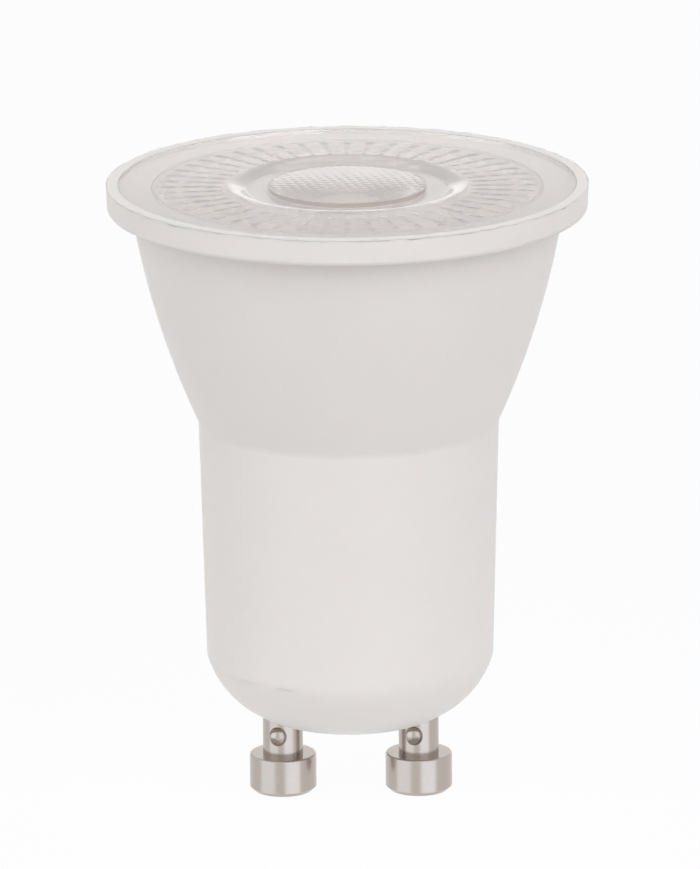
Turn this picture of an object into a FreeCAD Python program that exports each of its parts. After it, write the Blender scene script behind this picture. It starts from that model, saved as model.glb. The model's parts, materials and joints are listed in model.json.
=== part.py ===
import FreeCAD, Part
import os
import re
import Sketcher

# A 35 mm spotlight bulb with a twist-lock pin base. Millimetres. The lamp's axis is Z, the pin tips
# stand on z = 0 and the two pins lie along X.
SIZES = (
    ("overall_height", 46.0, "pin tips to the top of the rim"),
    ("flange_diameter", 35.0, "rim, outside, at its top"),
    ("flange_height", 1.95, "rim, top to underside"),
    ("flange_taper", 0.06, "how much the rim's radius narrows to its underside"),
    ("flange_edge", 0.4, "rounding of the rim's lower edge"),
    ("lip_edge", 0.12, "rounding of the rim's upper edge"),
    ("lip_width", 0.85, "rim left standing around the lens"),
    ("flange_overhang", 1.82, "rim beyond the bell, at the rim's underside"),
    ("bell_height", 15.75, "neck to the rim's underside"),
    ("bell_bulge_height", 0.54, "rise of the bell's curve over its chord"),
    ("bell_crease", 1.0, "rounding between bell and neck"),
    ("flange_root", 0.35, "rounding between bell and rim"),
    ("neck_top_diameter", 21.92, "neck, outside, at the bell"),
    ("neck_bottom_diameter", 21.02, "neck, outside, at the base"),
    ("bevel_height", 4.95, "base plane to the bottom of the neck"),
    ("bevel_crease", 0.5, "rounding between neck and base"),
    ("base_flat_diameter", 7.8, "flat middle of the base"),
    ("shell_wall", 1.4, "wall of the moulding"),
    ("base_floor", 2.0, "floor of the moulding"),
    ("floor_edge", 0.3, "flat of the floor around the pins' spread ends"),
    ("cut_through", 1.0, "holes cut beyond the sheet that they go through"),
    ("pin_spacing", 10.0, "between the pin axes"),
    ("pin_protrusion", 5.6, "pin tip to the base plane"),
    ("pin_head_diameter", 4.9, "twist-lock head"),
    ("pin_head_height", 2.8, "twist-lock head"),
    ("pin_head_chamfer", 0.3, "around the tip"),
    ("pin_shoulder_edge", 0.12, "rounding behind the head"),
    ("pin_neck_diameter", 2.95, "between head and base, and through the floor"),
    ("pin_flare_diameter", 4.2, "end spread over the floor"),
    ("pin_flare_height", 0.5, "end spread over the floor"),
    ("pin_bore_level", 3.4, "pin tip to the end of the bore"),
    ("crimp_level", 4.4, "pin tip to the middle of the crimp"),
    ("crimp_diameter", 1.45, "crimp dimple"),
    ("crimp_depth", 0.5, "crimp dimple"),
    ("crimp_turn", 15.0, "degrees that the crimps are turned from the front to the left"),
    ("mains_lead_diameter", 0.8, "tinned lead in a pin"),
    ("mains_lead_gap", 0.1, "bore of a pin over its lead"),
    ("mains_lead_lap", 3.0, "lead lying on the driver board"),
    ("lens_recess", 0.15, "rim above the lens"),
    ("lens_gap", 0.1, "between lens and rim"),
    ("lens_ring_height", 0.9, "edge of the lens on its ledge"),
    ("lens_plate_drop", 0.6, "faceted plate below the ledge"),
    ("dish_diameter", 17.5, "dish around the centre disc"),
    ("dish_floor_diameter", 12.4, "dish around the centre disc"),
    ("dish_depth", 0.65, "dish around the centre disc"),
    ("disc_diameter", 11.5, "raised centre disc"),
    ("disc_drop", 0.15, "edge of the centre disc below the lens top"),
    ("disc_crown", 0.12, "rise of the centre disc"),
    ("facet_sectors", 48, "facets around the lens"),
    ("facet_rings", 3, "rows of facets"),
    ("facet_groove", 0.28, "width of the grooves between facets"),
    ("facet_groove_depth", 0.14, "depth of the grooves between facets"),
    ("facet_margin", 0.3, "plain edge around the facets"),
    ("cone_top_diameter", 16.6, "collimator cone at the plate"),
    ("cone_bottom_diameter", 7.2, "collimator cone at the light source"),
    ("cone_bulge_height", 0.5, "rise of the cone's curve over its chord"),
    ("cavity_diameter", 5.0, "hollow of the cone over the light source"),
    ("cavity_depth", 3.2, "hollow of the cone over the light source"),
    ("cavity_draft", 0.3, "how much the hollow's radius narrows to its end"),
    ("cavity_crown", 0.5, "dome at the end of the hollow"),
    ("source_gap", 0.3, "cone above the light source"),
    ("cup_depth", 11.25, "rim's underside to the seat of the heat sink"),
    ("cup_ledge", 0.9, "ledge under the heat sink"),
    ("cup_gap", 0.1, "between heat sink and bell"),
    ("cup_wall", 0.8, "wall of the heat sink"),
    ("cup_floor", 1.5, "floor of the heat sink"),
    ("cup_top_gap", 0.3, "heat sink's edge below the rim's underside"),
    ("pad_height", 0.25, "thermal pad"),
    ("led_board_gap", 0.7, "between light board and heat sink"),
    ("led_board_height", 1.2, "light board"),
    ("led_package_width", 4.6, "light source"),
    ("led_package_height", 0.7, "light source"),
    ("phosphor_diameter", 3.8, "glowing face of the light source"),
    ("phosphor_height", 0.4, "glowing face of the light source"),
    ("screw_spacing", 13.6, "between the board screws, along Y"),
    ("screw_diameter", 2.0, "thread of a board screw"),
    ("screw_gap", 0.2, "hole of the light board over a screw"),
    ("screw_head_diameter", 3.6, "head of a board screw"),
    ("screw_head_height", 1.2, "head of a board screw"),
    ("screw_end_gap", 0.3, "screw's end above the heat sink's underside"),
    ("led_lead_spacing", 14.0, "between the leads of the light board, along X"),
    ("led_lead_diameter", 1.2, "lead of the light board"),
    ("led_lead_gap", 0.1, "hole around a lead, on each side"),
    ("led_lead_lap", 3.5, "lead lying on the driver board"),
    ("led_lead_end", 0.5, "lead's end above the light board"),
    ("solder_diameter", 2.3, "foot of a solder joint"),
    ("solder_height", 0.7, "solder joint"),
    ("solder_collar", 0.1, "solder left around a lead at the top of its joint"),
    ("solder_film", 0.1, "solder between a pin's lead and the driver board"),
    ("mains_solder_collar", 0.8, "solder joint over a pin's lead, across"),
    ("driver_board_height_gap", 2.5, "driver board below the heat sink"),
    ("driver_board_thickness", 1.0, "driver board"),
    ("driver_board_edge_gap", 0.9, "driver board to the neck's wall, at its bottom"),
    ("driver_board_rise", 0.2, "driver board above the bottom of the neck"),
    ("rib_thickness", 0.8, "guide ribs of the driver board"),
    ("rib_grip", 0.8, "driver board held by the ribs"),
    ("rib_gap", 0.1, "between rib and driver board"),
    ("rib_root", 0.2, "ribs let into the neck's wall"),
    ("rib_drop", 0.4, "ribs' feet below the bottom of the neck"),
    ("rib_end_gap", 2.0, "ribs' ends below the bell"),
    ("can_level", 6.0, "cans above the driver board's lower edge"),
    ("input_capacitor_diameter", 5.6, "electrolytic can, mains side"),
    ("input_capacitor_height", 8.0, "electrolytic can, mains side"),
    ("input_capacitor_offset", 2.4, "electrolytic can, mains side, left of the axis"),
    ("output_capacitor_diameter", 5.0, "electrolytic can, light side"),
    ("output_capacitor_height", 7.0, "electrolytic can, light side"),
    ("output_capacitor_offset", 3.3, "electrolytic can, light side, left of the axis"),
    ("inductor_diameter", 5.4, "drum inductor"),
    ("inductor_height", 6.6, "drum inductor"),
    ("inductor_waist", 4.2, "winding between the drum's ends"),
    ("inductor_offset", 3.3, "drum inductor, right of the axis"),
    ("fuse_diameter", 2.2, "fusible resistor"),
    ("fuse_height", 5.0, "fusible resistor"),
    ("fuse_lead_diameter", 0.6, "fusible resistor"),
    ("fuse_offset", 5.0, "fusible resistor, right of the axis"),
    ("fuse_level", 2.0, "fusible resistor above the driver board's lower edge"),
    ("bridge_width", 4.4, "bridge rectifier"),
    ("bridge_height", 3.8, "bridge rectifier"),
    ("bridge_thickness", 2.3, "bridge rectifier"),
    ("bridge_level", 1.4, "bridge rectifier above the driver board's lower edge"),
    ("bridge_leg_width", 0.7, "legs of the bridge rectifier"),
    ("chip_width", 3.8, "driver chip"),
    ("chip_height", 4.6, "driver chip"),
    ("chip_thickness", 1.5, "driver chip"),
    ("chip_offset", 3.7, "driver chip, right of the axis"),
    ("chip_level", 9.2, "driver chip above the driver board's lower edge"),
    ("chip_leg_width", 0.4, "legs of the driver chip"),
    ("diode_width", 2.5, "output diode"),
    ("diode_height", 4.0, "output diode"),
    ("diode_thickness", 2.0, "output diode"),
    ("diode_offset", 5.0, "output diode, left of the axis"),
    ("diode_level", 0.9, "output diode above the driver board's lower edge"),
    ("diode_leg_width", 1.2, "legs of the output diode"),
    ("resistor_width", 1.4, "chip resistors"),
    ("resistor_height", 3.0, "chip resistors"),
    ("resistor_thickness", 0.6, "chip resistors"),
    ("resistor_pitch", 2.1, "between the chip resistors"),
    ("resistor_offset", 2.2, "first chip resistor, left of the axis"),
    ("resistor_level", 1.0, "chip resistors above the driver board's lower edge"),
    ("leg_thickness", 0.25, "sheet of the legs on the driver board's parts"),
    ("leg_reach", 0.8, "legs beyond the parts"),
)

doc = FreeCAD.newDocument("gu10_spotlight_bulb")
sheet = doc.addObject("Spreadsheet::Sheet", "Sizes")
for row, (alias, size, note) in enumerate(SIZES, start=1):
    sheet.set(f"A{row}", alias)
    sheet.set(f"B{row}", str(size))
    sheet.set(f"C{row}", note)
    sheet.setAlias(f"B{row}", alias)
doc.recompute()
ALIASES = {alias for alias, size, note in SIZES}

# Heights and radii that several pieces share, in terms of the sheet.
BASE_PLANE = "pin_protrusion"
INNER_FLOOR = "(pin_protrusion + base_floor)"
NECK_BOTTOM = "(pin_protrusion + bevel_height)"
FLANGE_BOTTOM = "(overall_height - flange_height)"
BELL_BOTTOM = "(overall_height - flange_height - bell_height)"
LENS_TOP = "(overall_height - lens_recess)"
LENS_LEDGE = "(overall_height - lens_recess - lens_ring_height)"
PLATE_BOTTOM = "(overall_height - lens_recess - lens_ring_height - lens_plate_drop)"
CUP_SEAT = "(overall_height - flange_height - cup_depth)"
CUP_TOP = "(overall_height - flange_height - cup_top_gap)"
CUP_FLOOR_TOP = f"({CUP_SEAT} + cup_floor)"
PAD_TOP = f"({CUP_FLOOR_TOP} + pad_height)"
LED_BOARD_TOP = f"({PAD_TOP} + led_board_height)"
SOURCE_TOP = f"({LED_BOARD_TOP} + led_package_height)"
CONE_BOTTOM = f"({SOURCE_TOP} + source_gap)"
BELL_TOP = "(flange_diameter / 2 - flange_overhang)"
BELL_SLOPE = f"(({BELL_TOP} - neck_top_diameter / 2) / bell_height)"
LENS_BORE = f"({BELL_TOP} - shell_wall)"
CUP_BORE = f"(neck_top_diameter / 2 + {BELL_SLOPE} * (bell_height - cup_depth) - shell_wall)"
CUP_FOOT = f"({CUP_BORE} - cup_gap)"
CUP_RIM = f"({LENS_BORE} - {BELL_SLOPE} * cup_top_gap - cup_gap)"
LENS_RADIUS = "(flange_diameter / 2 - lip_width - lens_gap)"
PLATE_RADIUS = f"({LENS_BORE} - lens_gap)"
FACET_INSIDE = "(dish_diameter / 2 + facet_groove / 2)"
FACET_OUTSIDE = f"({PLATE_RADIUS} - facet_margin)"
LED_BOARD_RADIUS = f"({CUP_FOOT} - cup_wall - led_board_gap)"
NECK_BORE_BOTTOM = "(neck_bottom_diameter / 2 - shell_wall)"
NECK_BORE_TOP = "(neck_top_diameter / 2 - shell_wall)"
BOARD_FRONT = "(mains_lead_diameter / 2 + solder_film)"
BOARD_BACK = "(mains_lead_diameter / 2 + solder_film + driver_board_thickness)"
BOARD_HALF_WIDTH = f"({NECK_BORE_BOTTOM} - driver_board_edge_gap)"
BOARD_BOTTOM = f"({NECK_BOTTOM} + driver_board_rise)"
BOARD_TOP = f"({CUP_SEAT} - driver_board_height_gap)"
LEAD_LINE = f"({BOARD_FRONT} - led_lead_diameter / 2)"
LEAD_HOLE = "(led_lead_diameter + 2 * led_lead_gap)"


def measure(text):
    """The value of an expression in the sheet's sizes."""
    return float(sheet.evalExpression(text))


def bind(item, name, text):
    """Bind a property to an expression in the sheet's sizes."""

    def link(word):
        return f"Sizes.{word.group(0)}" if word.group(0) in ALIASES else word.group(0)

    item.setExpression(name, re.sub(r"[a-z_]+", link, text))


def bind_place(item, x, y, z):
    """Bind the place of a piece."""
    bind(item, "Placement.Base.x", x)
    bind(item, "Placement.Base.y", y)
    bind(item, "Placement.Base.z", z)


def new_body(label):
    """A body that becomes one sub-part."""
    body = doc.addObject("PartDesign::Body", label)
    body.Label = label
    return body


def origin_part(body, role):
    """A plane or an axis of a body's own origin."""
    return [part for part in body.Origin.OriginFeatures if part.Role == role][0]


def new_sketch(body, name, plane, level="0"):
    """A sketch on one of a body's own planes, moved along that plane's normal."""
    sketch = body.newObject("Sketcher::SketchObject", name)
    sketch.AttachmentSupport = [(origin_part(body, plane), "")]
    sketch.MapMode = "FlatFace"
    bind(sketch, "AttachmentOffset.Base.z", level)
    return sketch


def hold_point(sketch, side, end, x, y):
    """Fix one point of a sketch at a pair of sizes."""
    if x == "0":
        sketch.addConstraint(Sketcher.Constraint("PointOnObject", side, end, -2))
    else:
        number = sketch.addConstraint(Sketcher.Constraint("DistanceX", -1, 1, side, end, measure(x)))
        bind(sketch, f"Constraints[{number}]", x)
    if y == "0":
        sketch.addConstraint(Sketcher.Constraint("PointOnObject", side, end, -1))
    else:
        number = sketch.addConstraint(Sketcher.Constraint("DistanceY", -1, 1, side, end, measure(y)))
        bind(sketch, f"Constraints[{number}]", y)


def add_outline(sketch, corners, bulges=None):
    """A closed outline through pairs of sizes. A bulge turns the side that starts at its corner into
    an arc that rises to the left of the side, or to its right where the bulge is negative."""
    bulges = bulges or {}
    points = [FreeCAD.Vector(measure(x), measure(y), 0) for x, y in corners]
    ends = []
    for index, start in enumerate(points):
        after = (index + 1) % len(points)
        chord = points[after] - start
        if index not in bulges:
            side = sketch.addGeometry(Part.LineSegment(start, points[after]))
            ends.append((side, 1, 2))
            continue
        rise = measure(bulges[index])
        left = FreeCAD.Vector(-chord.y, chord.x, 0).normalize()
        middle = start + chord * 0.5 + left * rise
        side = sketch.addGeometry(Part.Arc(start, middle, points[after]))
        forward = sketch.getPoint(side, 1).distanceToPoint(start) < 1e-6
        ends.append((side, 1, 2) if forward else (side, 2, 1))
        (x_start, y_start), (x_end, y_end) = corners[index], corners[after]
        span = f"(({x_end} - ({x_start}))^2 + ({y_end} - ({y_start}))^2)"
        radius = f"{span} / (8 * abs({bulges[index]})) + abs({bulges[index]}) / 2"
        number = sketch.addConstraint(Sketcher.Constraint("Radius", side, measure(radius)))
        bind(sketch, f"Constraints[{number}]", radius)
    for index, (side, first, last) in enumerate(ends):
        before = ends[index - 1]
        sketch.addConstraint(Sketcher.Constraint("Coincident", before[0], before[2], side, first))
        hold_point(sketch, side, first, *corners[index])


def add_circle(sketch, x, y, diameter):
    """A circle at a pair of sizes."""
    center = FreeCAD.Vector(measure(x), measure(y), 0)
    circle = sketch.addGeometry(Part.Circle(center, FreeCAD.Vector(0, 0, 1), measure(diameter) / 2))
    hold_point(sketch, circle, 3, x, y)
    number = sketch.addConstraint(Sketcher.Constraint("Diameter", circle, measure(diameter)))
    bind(sketch, f"Constraints[{number}]", diameter)


def turn(body, kind, name, sketch):
    """Turn a profile about the lamp's axis: a Revolution adds, a Groove cuts."""
    feature = body.newObject(f"PartDesign::{kind}", name)
    feature.Profile = sketch
    feature.ReferenceAxis = (sketch, ["V_Axis"])
    feature.Angle = 360.0
    doc.recompute()
    return feature


def raise_or_cut(body, kind, name, sketch, length, reversed_way=False):
    """A Pad or a Pocket of a given length."""
    feature = body.newObject(f"PartDesign::{kind}", name)
    feature.Profile = sketch
    feature.Reversed = reversed_way
    bind(feature, "Length", length)
    doc.recompute()
    return feature


def mirror_feature(body, name, original, plane):
    """A second copy of a feature across one of the body's own planes."""
    feature = body.newObject("PartDesign::Mirrored", name)
    feature.Originals = [original]
    feature.MirrorPlane = (origin_part(body, plane), [""])
    body.Tip = feature
    doc.recompute()
    return feature


def round_ring(body, name, radius, height, rounding, kind="Fillet"):
    """Round or chamfer the circular edge at a radius and a height of the body as it stands."""
    base = body.Tip
    names = []
    for number, edge in enumerate(base.Shape.Edges, start=1):
        if not isinstance(edge.Curve, Part.Circle):
            continue
        fits_radius = abs(edge.Curve.Radius - measure(radius)) < 1e-4
        if fits_radius and abs(edge.Curve.Center.z - measure(height)) < 1e-4:
            names.append(f"Edge{number}")
    if not names:
        raise RuntimeError(f"{body.Label}: no edge for {name}")
    feature = body.newObject(f"PartDesign::{kind}", name)
    feature.Base = (base, names)
    bind(feature, "Radius" if kind == "Fillet" else "Size", rounding)
    doc.recompute()
    return feature


def block(name, corner, extent):
    """A box from its low corner and its extent along X, Y and Z."""
    box = doc.addObject("Part::Box", name)
    bind_place(box, *corner)
    bind(box, "Length", extent[0])
    bind(box, "Width", extent[1])
    bind(box, "Height", extent[2])
    return box


def post(name, foot, diameter, height):
    """A cylinder along Z."""
    cylinder = doc.addObject("Part::Cylinder", name)
    bind_place(cylinder, *foot)
    bind(cylinder, "Radius", f"({diameter}) / 2")
    bind(cylinder, "Height", height)
    return cylinder


def fused(label, items):
    """Several solids that touch, made into one sub-part."""
    fuse = doc.addObject("Part::MultiFuse", label)
    fuse.Shapes = items
    fuse.Refine = True
    fuse.Label = label
    return fuse


def cut(name, base, tool):
    """One solid less another."""
    result = doc.addObject("Part::Cut", name)
    result.Base = base
    result.Tool = tool
    return result


def with_mirror(label, item, normal):
    """A sub-part of two equal solids on both sides of the lamp's axis."""
    mirror = doc.addObject("Part::Mirroring", f"{label}_other")
    mirror.Source = item
    mirror.Normal = normal
    pair = doc.addObject("Part::Compound", label)
    pair.Links = [item, mirror]
    pair.Label = label
    return pair


def make_housing():
    """White moulding: rim, bell, neck and base in one, with guide ribs for the driver board."""
    body = new_body("housing")
    profile = new_sketch(body, "housing_profile", "XZ_Plane")
    inner_flat = "(pin_spacing / 2 + pin_flare_diameter / 2 + floor_edge)"
    bevel_run = "(neck_bottom_diameter / 2 - base_flat_diameter / 2)"
    bevel_radius = f"(({bevel_run}^2 + bevel_height^2) / (2 * bevel_height))"
    bevel_chord = f"sqrt({bevel_run}^2 + bevel_height^2)"
    bevel_rise = f"({bevel_radius} - sqrt({bevel_radius}^2 - ({bevel_chord} / 2)^2))"
    corners = (
        ("0", BASE_PLANE),
        ("base_flat_diameter / 2", BASE_PLANE),
        ("neck_bottom_diameter / 2", NECK_BOTTOM),
        ("neck_top_diameter / 2", BELL_BOTTOM),
        (BELL_TOP, FLANGE_BOTTOM),
        ("flange_diameter / 2 - flange_taper", FLANGE_BOTTOM),
        ("flange_diameter / 2", "overall_height"),
        ("flange_diameter / 2 - lip_width", "overall_height"),
        ("flange_diameter / 2 - lip_width", LENS_LEDGE),
        (LENS_BORE, LENS_LEDGE),
        (LENS_BORE, FLANGE_BOTTOM),
        (CUP_BORE, CUP_SEAT),
        (f"{CUP_BORE} - cup_ledge", CUP_SEAT),
        (NECK_BORE_TOP, BELL_BOTTOM),
        (NECK_BORE_BOTTOM, f"{NECK_BOTTOM} + shell_wall / 4"),
        (inner_flat, INNER_FLOOR),
        ("0", INNER_FLOOR),
    )
    add_outline(profile, corners, {1: f"-{bevel_rise}", 3: "-bell_bulge_height"})
    turn(body, "Revolution", "housing_shell", profile)
    round_ring(body, "housing_bevel_crease", "neck_bottom_diameter / 2", NECK_BOTTOM, "bevel_crease")
    round_ring(body, "housing_bell_crease", "neck_top_diameter / 2", BELL_BOTTOM, "bell_crease")
    round_ring(body, "housing_flange_root", BELL_TOP, FLANGE_BOTTOM, "flange_root")
    lower_edge = "flange_diameter / 2 - flange_taper"
    round_ring(body, "housing_flange_edge", lower_edge, FLANGE_BOTTOM, "flange_edge")
    round_ring(body, "housing_lip_edge", "flange_diameter / 2", "overall_height", "lip_edge")

    inside = f"{BOARD_HALF_WIDTH} - rib_grip"
    outside = f"{NECK_BORE_TOP} + rib_root"
    rib_bottom = f"{NECK_BOTTOM} - rib_drop"
    rib_height = f"{BELL_BOTTOM} - rib_end_gap - ({rib_bottom})"
    front = f"{BOARD_FRONT} - rib_gap"
    back = f"{BOARD_BACK} + rib_gap"
    ribs = new_sketch(body, "housing_rib_outline", "XY_Plane", rib_bottom)
    for near, far in ((f"{front} - rib_thickness", front), (back, f"{back} + rib_thickness")):
        add_outline(ribs, ((inside, near), (outside, near), (outside, far), (inside, far)))
    rib_pad = raise_or_cut(body, "Pad", "housing_ribs", ribs, rib_height)
    mirror_feature(body, "housing_ribs_other", rib_pad, "YZ_Plane")
    stop = new_sketch(body, "housing_stop_outline", "XY_Plane", rib_bottom)
    stop_corners = ((inside, front), (outside, front), (outside, back), (inside, back))
    add_outline(stop, stop_corners)
    stop_pad = raise_or_cut(body, "Pad", "housing_stop", stop, f"{BOARD_BOTTOM} - ({rib_bottom})")
    mirror_feature(body, "housing_stop_other", stop_pad, "YZ_Plane")

    hole = new_sketch(body, "housing_pin_hole_outline", "XY_Plane", INNER_FLOOR)
    add_circle(hole, "pin_spacing / 2", "0", "pin_neck_diameter")
    hole_cut = raise_or_cut(body, "Pocket", "housing_pin_hole", hole, "base_floor + cut_through")
    mirror_feature(body, "housing_pin_hole_other", hole_cut, "YZ_Plane")
    return body


def make_lens():
    """Clear moulding: seat ring, facets, dish, raised centre disc and collimator cone."""
    body = new_body("lens")
    profile = new_sketch(body, "lens_profile", "XZ_Plane")
    dish_floor = f"({LENS_TOP} - dish_depth)"
    disc_edge = f"({LENS_TOP} - disc_drop)"
    cavity_top = f"({CONE_BOTTOM} + cavity_depth)"
    corners = (
        ("0", f"{disc_edge} + disc_crown"),
        ("disc_diameter / 2", disc_edge),
        ("disc_diameter / 2", dish_floor),
        ("dish_floor_diameter / 2", dish_floor),
        ("dish_diameter / 2", LENS_TOP),
        (LENS_RADIUS, LENS_TOP),
        (LENS_RADIUS, LENS_LEDGE),
        (PLATE_RADIUS, LENS_LEDGE),
        (PLATE_RADIUS, PLATE_BOTTOM),
        ("cone_top_diameter / 2", PLATE_BOTTOM),
        ("cone_bottom_diameter / 2", CONE_BOTTOM),
        ("cavity_diameter / 2", CONE_BOTTOM),
        ("cavity_diameter / 2 - cavity_draft", cavity_top),
        ("0", f"{cavity_top} - cavity_crown"),
    )
    crown_radius = "((disc_diameter / 2)^2 + disc_crown^2) / (2 * disc_crown)"
    crown_rise = crown_bulge(crown_radius, "disc_diameter / 2", "disc_crown")
    dome_reach = "(cavity_diameter / 2 - cavity_draft)"
    dome_radius = f"({dome_reach}^2 + cavity_crown^2) / (2 * cavity_crown)"
    dome_rise = crown_bulge(dome_radius, dome_reach, "cavity_crown")
    add_outline(profile, corners, {0: crown_rise, 9: "cone_bulge_height", 12: dome_rise})
    turn(body, "Revolution", "lens_blank", profile)

    rings = new_sketch(body, "lens_ring_grooves_outline", "XZ_Plane")
    tip = f"{PLATE_BOTTOM} + facet_groove_depth"
    foot = f"{PLATE_BOTTOM} - facet_groove_depth"
    for ring in range(1, int(measure("facet_rings"))):
        middle = f"({FACET_INSIDE} + ({FACET_OUTSIDE} - {FACET_INSIDE}) * {ring} / facet_rings)"
        notch = ((middle, tip), (f"{middle} - facet_groove", foot), (f"{middle} + facet_groove", foot))
        add_outline(rings, notch)
    turn(body, "Groove", "lens_ring_grooves", rings)

    spoke = new_sketch(body, "lens_spoke_outline", "YZ_Plane", FACET_INSIDE)
    add_outline(spoke, (("0", tip), ("-facet_groove", foot), ("facet_groove", foot)))
    spoke_length = f"{FACET_OUTSIDE} - {FACET_INSIDE}"
    spoke_cut = raise_or_cut(body, "Pocket", "lens_spoke", spoke, spoke_length, reversed_way=True)
    spokes = body.newObject("PartDesign::PolarPattern", "lens_spokes")
    spokes.Originals = [spoke_cut]
    spokes.Axis = (origin_part(body, "Z_Axis"), [""])
    spokes.Angle = 360.0
    bind(spokes, "Occurrences", "facet_sectors")
    body.Tip = spokes
    doc.recompute()
    return body


def crown_bulge(radius, reach, rise):
    """Bulge of the half profile of a dome whose tangent is level on the lamp's axis."""
    return f"({radius} - sqrt(({radius})^2 - ({reach}^2 + {rise}^2) / 4))"


def make_pin(label, x):
    """Turned contact pin: head, neck, spread end, bore for the lead and a crimp dimple."""
    body = new_body(label)
    profile = new_sketch(body, f"{label}_profile", "XZ_Plane")
    pin_top = f"({INNER_FLOOR} + pin_flare_height)"
    bore = "(mains_lead_diameter + mains_lead_gap) / 2"
    corners = (
        ("0", "0"),
        ("pin_head_diameter / 2", "0"),
        ("pin_head_diameter / 2", "pin_head_height"),
        ("pin_neck_diameter / 2", "pin_head_height"),
        ("pin_neck_diameter / 2", INNER_FLOOR),
        ("pin_flare_diameter / 2", INNER_FLOOR),
        ("pin_neck_diameter / 2", pin_top),
        (bore, pin_top),
        (bore, "pin_bore_level"),
        ("0", "pin_bore_level"),
    )
    add_outline(profile, corners)
    turn(body, "Revolution", f"{label}_turned", profile)
    round_ring(body, f"{label}_tip", "pin_head_diameter / 2", "0", "pin_head_chamfer", "Chamfer")
    shoulder = "pin_head_diameter / 2"
    round_ring(body, f"{label}_shoulder", shoulder, "pin_head_height", "pin_shoulder_edge")
    crimp = body.newObject("PartDesign::SubtractiveSphere", f"{label}_crimp")
    ball = "((crimp_diameter^2 / 4 + crimp_depth^2) / (2 * crimp_depth))"
    reach = f"(pin_neck_diameter / 2 - crimp_depth + {ball})"
    bind(crimp, "Radius", ball)
    bind_place(crimp, f"-{reach} * sin(crimp_turn * 1deg)", f"-{reach} * cos(crimp_turn * 1deg)",
               "crimp_level")
    body.Tip = crimp
    bind_place(body, x, "0", "0")
    doc.recompute()
    return body


def make_heat_sink():
    """Drawn aluminium cup in the bell."""
    body = new_body("heat_sink_cup")
    profile = new_sketch(body, "heat_sink_profile", "XZ_Plane")
    inner_rise = f"{BELL_SLOPE} * ({CUP_TOP} - {CUP_FLOOR_TOP})"
    corners = (
        ("0", CUP_SEAT),
        (CUP_FOOT, CUP_SEAT),
        (CUP_RIM, CUP_TOP),
        (f"{CUP_RIM} - cup_wall", CUP_TOP),
        (f"{CUP_RIM} - cup_wall - {inner_rise}", CUP_FLOOR_TOP),
        ("0", CUP_FLOOR_TOP),
    )
    add_outline(profile, corners)
    turn(body, "Revolution", "heat_sink_shell", profile)
    cut_board_holes(body, "heat_sink", CUP_FLOOR_TOP, "cup_floor + cut_through", "screw_diameter")
    return body


def cut_board_holes(body, name, level, depth, screw_hole):
    """Holes for the two leads and the two screws of the light board."""
    lead_hole = new_sketch(body, f"{name}_lead_hole_outline", "XY_Plane", level)
    add_circle(lead_hole, "led_lead_spacing / 2", LEAD_LINE, LEAD_HOLE)
    add_circle(lead_hole, "-led_lead_spacing / 2", LEAD_LINE, LEAD_HOLE)
    raise_or_cut(body, "Pocket", f"{name}_lead_holes", lead_hole, depth)
    screw_sketch = new_sketch(body, f"{name}_screw_hole_outline", "XY_Plane", level)
    add_circle(screw_sketch, "0", "screw_spacing / 2", screw_hole)
    add_circle(screw_sketch, "0", "-screw_spacing / 2", screw_hole)
    raise_or_cut(body, "Pocket", f"{name}_screw_holes", screw_sketch, depth)


def make_disc(label, level, height, top):
    """Thermal pad or light board: a round sheet with the leads' and the screws' holes."""
    body = new_body(label)
    outline = new_sketch(body, f"{label}_outline", "XY_Plane", level)
    add_circle(outline, "0", "0", f"2 * {LED_BOARD_RADIUS}")
    raise_or_cut(body, "Pad", f"{label}_sheet", outline, height)
    cut_board_holes(body, label, top, f"{height} + cut_through", "screw_diameter + screw_gap")
    return body


def make_light_source():
    """Square package with a round pocket, and the glowing fill in that pocket."""
    body = new_body("led_package")
    outline = new_sketch(body, "led_package_outline", "XY_Plane", LED_BOARD_TOP)
    half = "led_package_width / 2"
    add_outline(outline, ((f"-{half}", f"-{half}"), (half, f"-{half}"), (half, half), (f"-{half}", half)))
    raise_or_cut(body, "Pad", "led_package_block", outline, "led_package_height")
    pocket = new_sketch(body, "led_package_pocket_outline", "XY_Plane", SOURCE_TOP)
    add_circle(pocket, "0", "0", "phosphor_diameter")
    raise_or_cut(body, "Pocket", "led_package_pocket", pocket, "phosphor_height")
    fill = post("led_phosphor", ("0", "0", f"{SOURCE_TOP} - phosphor_height"),
                "phosphor_diameter", "phosphor_height")
    fill.Label = "led_phosphor"
    return [body, fill]


def make_screws():
    """Two pan-head screws that hold the light board on the heat sink."""
    body = new_body("board_screw")
    profile = new_sketch(body, "board_screw_profile", "XZ_Plane")
    end = f"{CUP_SEAT} + screw_end_gap"
    corners = (
        ("0", end),
        ("screw_diameter / 2", end),
        ("screw_diameter / 2", LED_BOARD_TOP),
        ("screw_head_diameter / 2", LED_BOARD_TOP),
        ("screw_head_diameter / 2", f"{LED_BOARD_TOP} + screw_head_height"),
        ("0", f"{LED_BOARD_TOP} + screw_head_height"),
    )
    add_outline(profile, corners)
    turn(body, "Revolution", "board_screw_turned", profile)
    head_top = f"{LED_BOARD_TOP} + screw_head_height"
    round_ring(body, "board_screw_crown", "screw_head_diameter / 2", head_top, "screw_head_height / 2")
    bind(body, "Placement.Base.y", "screw_spacing / 2")
    doc.recompute()
    return with_mirror("board_screws", body, FreeCAD.Vector(0, 1, 0))


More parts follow.
